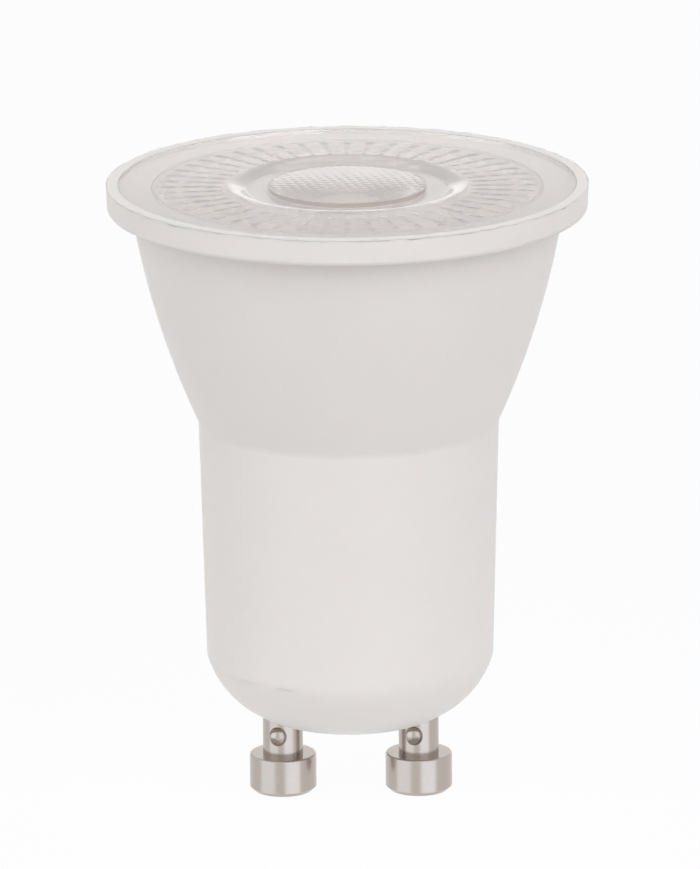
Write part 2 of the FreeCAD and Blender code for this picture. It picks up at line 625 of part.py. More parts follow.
def make_leads():
    """Leads of the light board and of the pins, with their solder joints, and the driver board."""
    low = f"({BOARD_TOP} - led_lead_lap)"
    rise = f"{LED_BOARD_TOP} + led_lead_end - {low}"
    right, left = "led_lead_spacing / 2", "-led_lead_spacing / 2"
    positive = post("led_lead_positive", (right, LEAD_LINE, low), "led_lead_diameter", rise)
    negative = post("led_lead_negative", (left, LEAD_LINE, low), "led_lead_diameter", rise)
    cone = doc.addObject("Part::Cone", "led_solder_cone")
    bind_place(cone, right, LEAD_LINE, LED_BOARD_TOP)
    bind(cone, "Radius1", "solder_diameter / 2")
    bind(cone, "Radius2", "led_lead_diameter / 2 + solder_collar")
    bind(cone, "Height", "solder_height")
    led_joint = cut("led_solder_joint", cone, positive)
    led_joints = with_mirror("led_solder_joints", led_joint, FreeCAD.Vector(1, 0, 0))

    board = new_body("driver_board")
    outline = new_sketch(board, "driver_board_outline", "XY_Plane", BOARD_BOTTOM)
    half = BOARD_HALF_WIDTH
    front_edge = ((f"-{half}", BOARD_FRONT), (half, BOARD_FRONT))
    back_edge = ((half, BOARD_BACK), (f"-{half}", BOARD_BACK))
    add_outline(outline, front_edge + back_edge)
    raise_or_cut(board, "Pad", "driver_board_sheet", outline, f"{BOARD_TOP} - {BOARD_BOTTOM}")

    lead_height = f"{BOARD_BOTTOM} + mains_lead_lap - pin_bore_level"
    pin_right, pin_left = "pin_spacing / 2", "-pin_spacing / 2"
    right_foot = (pin_right, "0", "pin_bore_level")
    left_foot = (pin_left, "0", "pin_bore_level")
    live = post("mains_lead_right", right_foot, "mains_lead_diameter", lead_height)
    neutral = post("mains_lead_left", left_foot, "mains_lead_diameter", lead_height)
    bead_foot = (pin_right, "0", f"{BOARD_BOTTOM} + mains_lead_lap / 3")
    bead_width = "mains_lead_diameter + mains_solder_collar"
    bead = post("mains_solder_bead", bead_foot, bead_width, "mains_lead_lap / 2")
    mains_joint = cut("mains_solder_joint", cut("mains_solder_face", bead, board), live)
    mains_joints = with_mirror("mains_solder_joints", mains_joint, FreeCAD.Vector(1, 0, 0))
    return [positive, negative, led_joints, board, live, neutral, mains_joints]


def make_cans():
    """Capacitors, inductor and fusible resistor, lying against the driver board."""
    level = f"({BOARD_BOTTOM} + can_level)"
    behind = f"{BOARD_BACK} + input_capacitor_diameter / 2"
    before = f"{BOARD_FRONT} - output_capacitor_diameter / 2"
    source = post("input_capacitor", ("-input_capacitor_offset", behind, level),
                  "input_capacitor_diameter", "input_capacitor_height")
    smooth = post("output_capacitor", ("-output_capacitor_offset", before, level),
                  "output_capacitor_diameter", "output_capacitor_height")
    for can in (source, smooth):
        can.Label = can.Name

    drum = new_body("drum_inductor")
    profile = new_sketch(drum, "drum_inductor_profile", "XZ_Plane")
    flange = "(inductor_height / 6)"
    corners = (
        ("0", "0"),
        ("inductor_diameter / 2", "0"),
        ("inductor_diameter / 2", flange),
        ("inductor_waist / 2", flange),
        ("inductor_waist / 2", f"inductor_height - {flange}"),
        ("inductor_diameter / 2", f"inductor_height - {flange}"),
        ("inductor_diameter / 2", "inductor_height"),
        ("0", "inductor_height"),
    )
    add_outline(profile, corners)
    turn(drum, "Revolution", "drum_inductor_turned", profile)
    bind_place(drum, "inductor_offset", f"{BOARD_FRONT} - inductor_diameter / 2", level)

    fuse_line = f"{BOARD_BACK} + fuse_diameter / 2"
    fuse_foot = f"({BOARD_BOTTOM} + fuse_level)"
    wire_foot = f"({fuse_foot} - leg_reach)"
    wire_length = "fuse_height + 2 * leg_reach"
    parts = [
        post("fuse_body", ("fuse_offset", fuse_line, fuse_foot), "fuse_diameter", "fuse_height"),
        post("fuse_wire", ("fuse_offset", fuse_line, wire_foot), "fuse_lead_diameter", wire_length),
    ]
    wire_end = f"{fuse_foot} + fuse_height + leg_reach - fuse_lead_diameter"
    for name, foot in (("low", wire_foot), ("high", wire_end)):
        corner = ("fuse_offset - fuse_lead_diameter / 2", BOARD_BACK, foot)
        extent = ("fuse_lead_diameter", "fuse_diameter / 2", "fuse_lead_diameter")
        parts.append(block(f"fuse_foot_{name}", corner, extent))
    return [source, smooth, drum, fused("fuse_resistor", parts)]


def make_surface_parts():
    """Moulded parts with legs on the driver board's faces, and three chip resistors."""
    bridge_foot = f"({BOARD_BOTTOM} + bridge_level)"
    bridge_face = f"{BOARD_FRONT} - bridge_thickness"
    bridge = [block("bridge_block", ("-bridge_width / 2", bridge_face, bridge_foot),
                    ("bridge_width", "bridge_thickness", "bridge_height"))]
    for name, middle in (("left", "-bridge_width / 4"), ("right", "bridge_width / 4")):
        leg_left = f"{middle} - bridge_leg_width / 2"
        corner = (leg_left, f"{BOARD_FRONT} - leg_thickness", f"{bridge_foot} - leg_reach")
        extent = ("bridge_leg_width", "leg_thickness", "bridge_height + 2 * leg_reach")
        bridge.append(block(f"bridge_leg_{name}", corner, extent))

    chip_foot = f"({BOARD_BOTTOM} + chip_level)"
    chip_left = "(chip_offset - chip_width / 2)"
    chip = [block("chip_block", (chip_left, BOARD_BACK, chip_foot),
                  ("chip_width", "chip_thickness", "chip_height"))]
    for leg in range(4):
        leg_foot = f"{chip_foot} + chip_height * {2 * leg + 1} / 8 - chip_leg_width / 2"
        corner = (f"{chip_left} - leg_reach", BOARD_BACK, leg_foot)
        extent = ("chip_width + 2 * leg_reach", "leg_thickness", "chip_leg_width")
        chip.append(block(f"chip_leg_{leg}", corner, extent))

    diode_foot = f"({BOARD_BOTTOM} + diode_level)"
    leg_left = "-diode_offset - diode_leg_width / 2"
    diode = [
        block("diode_block", ("-diode_offset - diode_width / 2", BOARD_BACK, diode_foot),
              ("diode_width", "diode_thickness", "diode_height")),
        block("diode_leg", (leg_left, BOARD_BACK, f"{diode_foot} - leg_reach / 2"),
              ("diode_leg_width", "leg_thickness", "diode_height + leg_reach")),
    ]

    resistors = []
    for place in range(3):
        left = f"resistor_pitch * {place} - resistor_offset - resistor_width / 2"
        corner = (left, BOARD_BACK, f"{BOARD_BOTTOM} + resistor_level")
        extent = ("resistor_width", "resistor_thickness", "resistor_height")
        resistors.append(block(f"chip_resistor_{place}", corner, extent))
    chips = doc.addObject("Part::Compound", "chip_resistors")
    chips.Links = resistors
    chips.Label = "chip_resistors"
    legged = (("bridge_rectifier", bridge), ("driver_chip", chip), ("output_diode", diode))
    return [fused(label, items) for label, items in legged] + [chips]


pieces = [make_housing(), make_lens()]
pieces.append(make_pin("contact_pin_left", "-pin_spacing / 2"))
pieces.append(make_pin("contact_pin_right", "pin_spacing / 2"))
pieces.append(make_heat_sink())
pieces.append(make_disc("thermal_pad", CUP_FLOOR_TOP, "pad_height", PAD_TOP))
pieces.append(make_disc("led_board", PAD_TOP, "led_board_height", LED_BOARD_TOP))
pieces.extend(make_light_source())
pieces.append(make_screws())
pieces.extend(make_leads())
pieces.extend(make_cans())
pieces.extend(make_surface_parts())
doc.recompute()

for item in doc.Objects:
    if "Invalid" in item.State or "Error" in item.State:
        raise RuntimeError(f"{item.Label}: {item.State}")
for piece in pieces:
    if piece.Shape.isNull() or not piece.Shape.isValid() or not piece.Shape.Solids:
        raise RuntimeError(f"{piece.Label}: no valid solid")

os.makedirs("parts", exist_ok=True)
for piece in pieces:
    piece.Shape.exportStep(f"parts/{piece.Label}.step")
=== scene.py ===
import json
import math

import bpy
from bpy.props import FloatProperty, FloatVectorProperty, IntProperty, PointerProperty
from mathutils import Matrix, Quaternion, Vector

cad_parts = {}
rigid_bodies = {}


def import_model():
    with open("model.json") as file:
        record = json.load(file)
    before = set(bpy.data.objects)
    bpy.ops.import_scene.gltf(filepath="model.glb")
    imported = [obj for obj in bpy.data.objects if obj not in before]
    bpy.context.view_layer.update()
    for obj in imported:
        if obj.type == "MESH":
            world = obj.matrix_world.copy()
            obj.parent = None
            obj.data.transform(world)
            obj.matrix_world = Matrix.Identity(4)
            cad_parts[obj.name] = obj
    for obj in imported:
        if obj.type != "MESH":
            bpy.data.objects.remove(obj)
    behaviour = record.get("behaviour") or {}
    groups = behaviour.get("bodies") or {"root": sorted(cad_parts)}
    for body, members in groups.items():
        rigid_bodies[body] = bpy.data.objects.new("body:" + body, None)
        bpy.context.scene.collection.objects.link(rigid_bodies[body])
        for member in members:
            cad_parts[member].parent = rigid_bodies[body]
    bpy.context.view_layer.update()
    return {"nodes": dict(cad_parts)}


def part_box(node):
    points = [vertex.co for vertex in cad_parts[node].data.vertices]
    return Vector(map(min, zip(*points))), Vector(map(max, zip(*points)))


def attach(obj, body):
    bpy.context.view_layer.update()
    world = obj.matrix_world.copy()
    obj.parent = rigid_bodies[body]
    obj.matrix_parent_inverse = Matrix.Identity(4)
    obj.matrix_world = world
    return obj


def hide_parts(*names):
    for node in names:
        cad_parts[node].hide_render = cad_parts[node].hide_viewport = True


bl_info = {
    "name": "Pin-base spotlight bulb",
    "version": (1, 0, 0),
    "blender": (4, 5, 0),
    "location": "View3D > Sidebar > Bulb",
    "description": "Finishes, faceted lens and studio of a small spotlight bulb with two contact pins",
    "category": "Object",
}

# The scene starts empty.
for item in list(bpy.data.objects):
    bpy.data.objects.remove(item)
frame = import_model()
NODES = frame["nodes"]
LENS_LOW, LENS_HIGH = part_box("lens")
HOUSING_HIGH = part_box("housing")[1]
MM = 0.001
# Keeps a limit off the faces that lie at it.
HAIR = 0.0005 * MM

# How finely the curved shapes are cut.
STEPS_PER_FACET = 8
DISC_STEPS = 44
ROUNDING_STEPS = 4
CONE_STEPS = 12
CAVITY_STEPS = 4
ROOF_STEPS = 6
FLASH_STEPS = 1440
FLASH_SIDES = 8

TINNED_COPPER = (0.72, 0.7, 0.66)
VECTOR_MATH = "ShaderNodeVectorMath"
# The two inputs and the output of a Mix node that belong to its kind of value.
MIX_SOCKETS = {"VECTOR": (4, 5, 1), "RGBA": (6, 7, 2)}

# Each side's azimuth, and its shares of the brightness of the softboxes and of the cards.
SIDES = {
    "left": (math.radians(-55), 1.02, 0.7),
    "right": (math.radians(34), 1.5, 0.95),
}
# A softbox stands further round than the card of its side.
SOFTBOX_TURN = 1.1
# Sizes and places of the stage, in metres.
BULB_MIDDLE = Vector((0.0, 0.0, 0.024))
LAMP_DISTANCE = 1.2
SOFTBOX_SIZE = (1.15, 0.9)
CARD_SIZE = (1.15, 1.4)
KEY_SIZE = (1.0, 0.8)
FLOOR_SIDE = 3.0
FLOOR_LEVEL = -0.00002
POOL_RADIUS = 0.0625
BACKDROP_BEHIND = 1.2
BACKDROP_SIDE = 0.8
BACKDROP_BOTTOM = -0.15
BACKDROP_TOP = 0.39
GRADE_BOTTOM = 0.322
GRADE_TOP = 0.358
# The camera's long side in millimetres, and the picture's in pixels.
SENSOR = 36.0
PICTURE_HEIGHT = 869


def length(name, description, millimetres):
    """A length, given in millimetres."""
    return FloatProperty(name=name, description=description, default=millimetres * MM, unit="LENGTH")


def degrees(name, description, value):
    """An angle, given in degrees."""
    turn = math.radians(value)
    return FloatProperty(name=name, description=description, default=turn, subtype="ANGLE", unit="ROTATION")


def tint(name, description, colour):
    """A colour of red, green and blue."""
    return FloatVectorProperty(name=name, description=description, default=colour, subtype="COLOR", size=3)


def number(name, description, value):
    """A plain number."""
    return FloatProperty(name=name, description=description, default=value)


class BulbLens(bpy.types.PropertyGroup):
    """Sizes of the clear lens."""

    sectors: IntProperty(name="Facets around", description="Facets in one row", default=48, min=6)
    rows: IntProperty(name="Rows of facets", description="Rings of facets", default=3, min=1)
    facet_inside: length("Facets inside", "Inner radius of the facets", 8.89)
    facet_outside: length("Facets outside", "Outer radius of the facets", 13.88)
    facet_depth: length("Facet depth", "Grooves between the facets", 0.03)
    row_break: number("Row break", "Share of a groove's depth that is lost between rows", 0.8)
    row_groove: number("Row groove", "Groove between rows as a share of the facet depth", 0.2)
    # Painted shade: a darker copy of the clear plastic along the facets' edges, in place of the dark light
    # they refract.
    stroke: number("Painted edge", "Darker edge of a facet as a share of half its width", 0.25)
    bead_pitch: length("Bead pitch", "Between the small lenses of the disc", 0.75)
    bead_rise: length("Bead rise", "Height of the small lenses", 0.02)
    bead_turn: degrees("Bead turn", "Turn of the rows of small lenses", 74)
    lift: length("Lift", "Top above the top of the solid lens", 0.11)
    reach: length("Reach", "Edge outside the edge of the solid lens", 0.09)
    ring_height: length("Ring height", "Height of the seat ring", 0.87)
    plate_height: length("Plate height", "Thickness of the plate with the facets", 1.5)
    plate_radius: length("Plate radius", "Radius of the plate with the facets", 14.18)
    disc_radius: length("Disc radius", "Radius of the raised disc", 5.75)
    disc_margin: length("Disc margin", "Plain edge of the raised disc", 0.12)
    disc_drop: length("Disc drop", "Edge of the raised disc below the top", 0.15)
    disc_crown: length("Disc crown", "Middle of the raised disc above its edge", 0.12)
    dish_inside: length("Dish inside", "Radius where the dish's floor ends", 7.3)
    dish_outside: length("Dish outside", "Radius where the dish's slope ends", 8.15)
    dish_depth: length("Dish depth", "Floor of the dish below the top", 0.52)
    disc_foot: length("Disc foot", "Rounding between the disc and the dish", 0.08)
    dish_foot: length("Dish foot", "Rounding between the dish's floor and slope", 0.5)
    dish_roll: length("Dish roll", "Rounding of the dish's edge", 2.0)
    edge_rounding: length("Edge rounding", "Rounding of the other edges", 0.05)
    ledge_foot: length("Ledge foot", "Rounding between the seat ring and the plate", 0.03)
    cone_top: length("Cone top", "Radius of the cone at the plate", 8.3)
    cone_bottom: length("Cone bottom", "Radius of the cone's lower end", 3.6)
    cone_bulge: length("Cone bulge", "How far the cone's side bows", 0.5)
    cavity_mouth: length("Cavity mouth", "Radius of the cavity over the light", 2.5)
    cavity_roof: length("Cavity roof", "Radius of the cavity's upper end", 2.2)
    cavity_height: length("Cavity height", "Height of the cavity", 3.2)
    roof_sag: length("Roof sag", "Middle of the cavity's roof below its edge", 0.5)
    roof_bulge: length("Roof bulge", "How far the cavity's roof bows", 0.12)
    frost_cone: length("Frosted cone", "Radius of the frosted underside in the middle", 8.54)
    frost_inside: length("Frosted dish inside", "Inner radius of the frosted dish", 5.76)
    frost_outside: length("Frosted dish outside", "Outer radius of the frosted dish", 8.7)
    frost_ring: length("Frosted ring", "Inner radius of the frosted edge below", 13.93)
    sharp_edges: degrees("Sharp edges", "Edges that turn further than this stay sharp", 24)


class BulbHousing(bpy.types.PropertyGroup):
    """The soft crease above the housing's foot."""

    crease_low: length("Crease low", "Height where the foot's curve ends", 9.9)
    crease_high: length("Crease high", "Height where the neck begins", 10.9)
    crease_inside: length("Crease inside", "Radius between the inner wall and the crease", 10.0)
    foot_tilt: degrees("Foot tilt", "How far the foot's upper end faces down", -21.8)
    neck_tilt: degrees("Neck tilt", "How far the neck faces down", -1.45)


class BulbRim(bpy.types.PropertyGroup):
    """Sizes of the moulding flash on the housing's rim."""

    radius: length("Flash radius", "Where the flash is thickest", 0.1)
    inset: length("Flash inset", "Its middle inside the rim's top edge", 0.02)
    waver: length("Flash waver", "How far it wanders up and down", 0.4)
    grain: number("Flash grain", "Waves of the flash in one metre", 600.0)
    thinnest: number("Thinnest", "Share of the thickness where the flash is thin", 0.25)
    back: number("Back", "Share of the thickness at the back", 0.25)
    # Painted shade under the flash's overhang lies between these two depths.
    painted_shade_top: length("Painted shade top", "Where dirt begins, below the flash's middle", 0.02)
    painted_shade_bottom: length("Painted shade bottom", "Where dirt is thickest, below the flash's middle", 0.06)


class BulbFinish(bpy.types.PropertyGroup):
    """Colours of the bulb's surfaces."""

    plastic: tint("White plastic", "Housing", (0.80, 0.771, 0.750))
    clear: tint("Clear plastic", "Lens", (0.94, 0.905, 0.89))
    # Painted shade along the facets' edges, standing in for the dark light that they refract.
    strokes: tint("Painted edge shade", "Edges of the lens's facets", (0.6, 0.535, 0.5))
    nickel: tint("Nickel", "Contact pins", (0.455, 0.405, 0.37))
    # Painted shade: the dark hairline cast by the flash's overhang on the rim's side.
    dirt: tint("Painted shade", "Under the rim's flash", (0.24, 0.18, 0.15))
    flash_shade: number("Flash shade", "Flash as a share of the housing's colour", 0.93)
    frost_shade: number("Frost shade", "Frosted as a share of the clear plastic's colour", 1.03)


class BulbStage(bpy.types.PropertyGroup):
    """Light and camera."""

    sky: tint("Sky", "Soft light from all round", (0.57, 0.56, 0.558))
    daylight: tint("Daylight", "Colour of the lamps", (0.97, 0.987, 1.0))
    card_colour: tint("Card colour", "Colour of the two cards", (0.73, 0.85, 1.0))
    softbox: number("Softboxes", "Brightness of the two softboxes", 0.83)
    card: number("Cards", "Brightness of the two cards mirrored in the pins", 0.65)
    key: number("Key", "Brightness of the lamp over the camera", 0.4)
    softbox_elevation: degrees("Softbox elevation", "Softboxes above the bulb", 34)
    card_elevation: degrees("Card elevation", "Cards above the bulb", -12)
    key_azimuth: degrees("Key azimuth", "Lamp over the camera, to the right of it", 5)
    key_elevation: degrees("Key elevation", "Lamp over the camera, above the bulb", 45)
    floor_grey: number("Floor grey", "Share of the light that the floor returns", 0.72)
    floor_white: number("Floor white", "Share by which the floor reads plain white", 0.94)
    # The floor glows by itself in this pool: painted light from below.
    pool: number("Pool", "Brightness of the pool of light on the floor", 0.25)
    backdrop_low: number("Backdrop low", "Brightness of the mirrored backdrop's low part", 1.5)
    backdrop_high: number("Backdrop high", "Brightness of its high part", 0.72)
    distance: length("Camera distance", "From the middle of the bulb", 696.65)
    elevation: degrees("Camera elevation", "Angle above the floor", 15.5)
    roll: degrees("Camera roll", "Turn of the picture", -0.37)
    focal_length: number("Focal length", "Millimetres on a 36 mm long side", 394.77)
    aim_up: number("Aim up", "Pixels by which the aim lies above the bulb's middle", 39.79)
    aim_left: number("Aim left", "Pixels by which the aim lies to its left", -1.13)


def feed(tree, socket, value):
    """Give an input its value: another node's output, or a plain value."""
    if isinstance(value, bpy.types.NodeSocket):
        tree.links.new(value, socket)
    else:
        socket.default_value = value


def compute(tree, operation, *values, kind="ShaderNodeMath"):
    """The outputs of a calculation."""
    node = tree.nodes.new(kind)
    node.operation = operation
    for socket, value in zip(node.inputs, values):
        feed(tree, socket, value)
    return node.outputs


def mapped(tree, value, low, high, first, last):
    """A value between low and high, carried over to the range from first to last."""
    node = tree.nodes.new("ShaderNodeMapRange")
    numbers = {"Value": value, "From Min": low, "From Max": high, "To Min": first, "To Max": last}
    for name, entry in numbers.items():
        feed(tree, node.inputs[name], entry)
    return node.outputs["Result"]


def mixed(tree, factor, first, second, kind="RGBA"):
    """A colour or a direction between two others."""
    node = tree.nodes.new("ShaderNodeMix")
    node.data_type = kind
    first_input, second_input, output = MIX_SOCKETS[kind]
    feed(tree, node.inputs["Factor"], factor)
    feed(tree, node.inputs[first_input], first)
    feed(tree, node.inputs[second_input], second)
    return node.outputs[output]


def own_place(tree):
    """A point in the piece's own coordinates."""
    return tree.nodes.new("ShaderNodeTexCoord").outputs["Object"]


def own_height(tree):
    """A point's height in the piece's own coordinates."""
    split = tree.nodes.new("ShaderNodeSeparateXYZ")
    tree.links.new(own_place(tree), split.inputs["Vector"])
    return split.outputs["Z"]


def bare_material(name):
    """A material with nothing but its output, and the input for its surface."""
    material = bpy.data.materials.new(name)
    material.use_nodes = True
    material.node_tree.nodes.clear()
    output = material.node_tree.nodes.new("ShaderNodeOutputMaterial")
    return material, output.inputs["Surface"]


def new_material(name):
    """A material with its shader."""
    material, surface = bare_material(name)
    shader = material.node_tree.nodes.new("ShaderNodeBsdfPrincipled")
    material.node_tree.links.new(shader.outputs["BSDF"], surface)
    return material, shader


def noise(tree, scale, detail=4.0, stretch=(1.0, 1.0, 1.0)):
    """Noise on the piece's own coordinates."""
    mapping = tree.nodes.new("ShaderNodeMapping")
    mapping.inputs["Scale"].default_value = stretch
    texture = tree.nodes.new("ShaderNodeTexNoise")
    texture.inputs["Scale"].default_value = scale
    texture.inputs["Detail"].default_value = detail
    tree.links.new(own_place(tree), mapping.inputs["Vector"])
    tree.links.new(mapping.outputs["Vector"], texture.inputs["Vector"])
    return texture.outputs["Fac"]


def spread(tree, factor, low, high):
    """A noise spread over a range of values."""
    noise_low = 0.3
    noise_high = 0.7
    return mapped(tree, factor, noise_low, noise_high, low, high)


def mottle(tree, shader, factor, colour, depth):
    """A base colour that wavers by a small share."""
    darker = [value * (1.0 - depth) for value in colour] + [1.0]
    lighter = [min(1.0, value * (1.0 + depth)) for value in colour] + [1.0]
    tree.links.new(mixed(tree, factor, darker, lighter), shader.inputs["Base Color"])


def gloss(tree, shader, factor, low, high):
    """A roughness that wavers between two values."""
    tree.links.new(spread(tree, factor, low, high), shader.inputs["Roughness"])


def bump(tree, shader, factor, strength, height):
    """A fine relief."""
    node = tree.nodes.new("ShaderNodeBump")
    node.inputs["Strength"].default_value = strength
    node.inputs["Distance"].default_value = height
    tree.links.new(factor, node.inputs["Height"])
    tree.links.new(node.outputs["Normal"], shader.inputs["Normal"])


def plain_finish(name, colour, roughness, metallic=0.0):
    """A finish for a piece inside the housing: a mottled colour with uneven gloss."""
    waver = 0.15
    material, shader = new_material(name)
    tree = material.node_tree
    shader.inputs["Metallic"].default_value = metallic
    mottle(tree, shader, noise(tree, scale=900.0), colour, depth=0.04)
    gloss(tree, shader, noise(tree, scale=450.0), roughness * (1 - waver), roughness * (1 + waver))
    return material


def dress(node_name, material):
    """Give a CAD node its material."""
    mesh = NODES[node_name].data
    mesh.materials.clear()
    mesh.materials.append(material)


def dress_plainly(finishes):
    """Give CAD nodes plain finishes, each with a name, a colour and a roughness."""
    for node_name, (name, colour, roughness) in finishes.items():
        dress(node_name, plain_finish(name, colour, roughness))


def dress_alike(node_names, material):
    """Give several CAD nodes the same material."""
    for node_name in node_names:
        dress(node_name, material)


def add_piece(name, content):
    """An object at the origin."""
    piece = bpy.data.objects.new(name, content)
    bpy.context.scene.collection.objects.link(piece)
    return piece


def keep_result(piece):
    """Turn a piece and its modifiers into a plain mesh."""
    graph = bpy.context.evaluated_depsgraph_get()
    mesh = bpy.data.meshes.new_from_object(piece.evaluated_get(graph))
    piece.modifiers.clear()
    old = piece.data
    piece.data = mesh
    bpy.data.meshes.remove(old)
    mesh.name = piece.name
    if not mesh.polygons:
        raise RuntimeError(f"{piece.name} came out empty")


class Tree:
    """A Geometry Nodes tree with named inputs."""

    def __init__(self, name):
        """Start with the geometry's way in and out."""
        self.group = bpy.data.node_groups.new(name, "GeometryNodeTree")
        self.group.interface.new_socket("Geometry", in_out="INPUT", socket_type="NodeSocketGeometry")
        self.group.interface.new_socket("Geometry", in_out="OUTPUT", socket_type="NodeSocketGeometry")
        self.values = {}
        self.entry = self.add("NodeGroupInput")
        self.exit = self.add("NodeGroupOutput")

    def add(self, kind, **settings):
        """A node with its settings."""
        node = self.group.nodes.new(kind)
        for name, value in settings.items():
            setattr(node, name, value)
        return node

    def input(self, name, value):
        """A named number that the modifier gives to the tree."""
        socket = self.group.interface.new_socket(name, in_out="INPUT", socket_type="NodeSocketFloat")
        self.values[socket.identifier] = value
        return self.entry.outputs[name]

    def feed(self, socket, value):
        """Give an input its value."""
        feed(self.group, socket, value)

    def math(self, operation, *values):
        """The result of a calculation."""
        return compute(self.group, operation, *values)["Value"]

    def times(self, first, *others):
        """A product."""
        for other in others:
            first = self.math("MULTIPLY", first, other)
        return first

    def place(self):
        """A point's position, and its three coordinates."""
        position = self.add("GeometryNodeInputPosition").outputs["Position"]
        split = self.add("ShaderNodeSeparateXYZ")
        self.feed(split.inputs["Vector"], position)
        return position, split.outputs

    def mark(self, name):
        """An attribute of the mesh."""
        node = self.add("GeometryNodeInputNamedAttribute", data_type="FLOAT")
        node.inputs["Name"].default_value = name
        return node.outputs["Attribute"]

    def raise_by(self, geometry, height):
        """Move points up."""
        shift = self.add("ShaderNodeCombineXYZ")
        self.feed(shift.inputs["Z"], height)
        move = self.add("GeometryNodeSetPosition")
        self.feed(move.inputs["Geometry"], geometry)
        self.feed(move.inputs["Offset"], shift.outputs["Vector"])
        return move.outputs["Geometry"]

    def realize(self, geometry):
        """Make instances real."""
        node = self.add("GeometryNodeRealizeInstances")
        self.feed(node.inputs["Geometry"], geometry)
        return node.outputs["Geometry"]

    def paint(self, geometry, material, selection=True):
        """Give the selected faces a material."""
        node = self.add("GeometryNodeSetMaterial")
        node.inputs["Material"].default_value = material
        self.feed(node.inputs["Geometry"], geometry)
        self.feed(node.inputs["Selection"], selection)
        return node.outputs["Geometry"]

    def finish(self, geometry):
        """Send the geometry out."""
        self.feed(self.exit.inputs["Geometry"], geometry)

    def apply(self, piece):
        """Put the tree on a piece with its values."""
        modifier = piece.modifiers.new("shape", "NODES")
        modifier.node_group = self.group
        for identifier, value in self.values.items():
            modifier[identifier] = value


def lathe(name, profile, marks, segments):
    """Turn a profile of radius and height about the lamp's axis, from the top middle to the bottom
    middle. A mark names an attribute that is 1 on the rings of a range of the profile."""
    vertices = [(0.0, 0.0, profile[0][1])]
    faces = []
    rings = profile[1:-1]
    for radius, height in rings:
        for step in range(segments):
            angle = 2 * math.pi * step / segments
            vertices.append((radius * math.cos(angle), radius * math.sin(angle), height))
    vertices.append((0.0, 0.0, profile[-1][1]))
    last = len(vertices) - 1
    for step in range(segments):
        after = (step + 1) % segments
        faces.append((0, 1 + step, 1 + after))
        for ring in range(len(rings) - 1):
            high = 1 + ring * segments
            low = high + segments
            faces.append((high + after, high + step, low + step, low + after))
        high = 1 + (len(rings) - 1) * segments
        faces.append((last, high + after, high + step))
    mesh = bpy.data.meshes.new(name)
    mesh.from_pydata(vertices, [], faces)
    for mark, (first, end) in marks.items():
        attribute = mesh.attributes.new(mark, "FLOAT", "POINT")
        values = [0.0] * len(vertices)
        if first == 0:
            values[0] = 1.0
        for ring in range(max(first, 1), end):
            for step in range(segments):
                values[1 + (ring - 1) * segments + step] = 1.0
        attribute.data.foreach_set("value", values)
    mesh.validate()
    return mesh


def arc(start, end, rise, steps):
    """Points of a shallow curve between two profile points, without its start."""
    points = []
    along = Vector(end) - Vector(start)
    left = Vector((-along.y, along.x)).normalized()
    for step in range(1, steps + 1):
        share = step / steps
        point = Vector(start) + along * share + left * (rise * 4 * share * (1 - share))
        points.append((point.x, point.y))
    return points


def rounded(corners):
    """Profile points through corners of radius, height and rounding. Each rounding has a close
    neighbour on both sides, so that the gloss turns only there."""
    neighbour = 0.03 * MM
    points = []
    for index, (radius, height, rounding) in enumerate(corners):
        here = Vector((radius, height))
        if not rounding:
            points.append((radius, height))
            continue
        back = (Vector(corners[index - 1][:2]) - here).normalized()
        ahead = (Vector(corners[index + 1][:2]) - here).normalized()
        half = back.angle(ahead) / 2
        reach = rounding / math.tan(half)
        middle = here + (back + ahead).normalized() * (rounding / math.sin(half))
        first = here + back * reach - middle
        last = here + ahead * reach - middle
        turn = first.angle_signed(last)
        points.append(tuple(here + back * (reach + neighbour)))
        for step in range(ROUNDING_STEPS + 1):
            angle = -turn * step / ROUNDING_STEPS
            spoke = Vector((
                first.x * math.cos(angle) - first.y * math.sin(angle),
                first.x * math.sin(angle) + first.y * math.cos(angle)))
            points.append(tuple(middle + spoke))
        points.append(tuple(here + ahead * (reach + neighbour)))
    return points


def ledge_level(lens):
    """Height of the seat ring's underside."""
    return LENS_HIGH.z + lens.lift - lens.ring_height


def disc_profile(lens, top):
    """Profile of the crowned disc in the middle of the lens, up to its plain edge."""
    edge = top - lens.disc_drop
    points = [(0.0, edge + lens.disc_crown)]
    for step in range(1, DISC_STEPS + 1):
        radius = (lens.disc_radius - lens.disc_margin) * step / DISC_STEPS
        points.append((radius, edge + lens.disc_crown * (1 - (radius / lens.disc_radius) ** 2)))
    return points


def rim_profile(lens, top, plate):
    """Profile from the disc's edge over the dish and the seat ring to the underside of the plate."""
    rim = LENS_HIGH.x + lens.reach
    ledge = ledge_level(lens)
    disc_edge = top - lens.disc_drop
    dish_floor = top - lens.dish_depth
    outline = (
        (lens.disc_radius - lens.disc_margin, disc_edge, 0),
        (lens.disc_radius, disc_edge, lens.edge_rounding),
        (lens.disc_radius, dish_floor, lens.disc_foot),
        (lens.dish_inside, dish_floor, lens.dish_foot),
        (lens.dish_outside, top, lens.dish_roll),
        (rim, top, lens.edge_rounding),
        (rim, ledge, lens.edge_rounding),
        (lens.plate_radius, ledge, lens.ledge_foot),
        (lens.plate_radius, plate, lens.edge_rounding),
        (lens.facet_outside, plate, 0),
    )
    return rounded(outline)[1:-1]


def facet_profile(lens, plate):
    """Profile of the plate's underside where the facets lie."""
    steps = lens.rows * STEPS_PER_FACET
    span = lens.facet_inside - lens.facet_outside
    return [(lens.facet_outside + span * step / steps, plate) for step in range(steps + 1)]


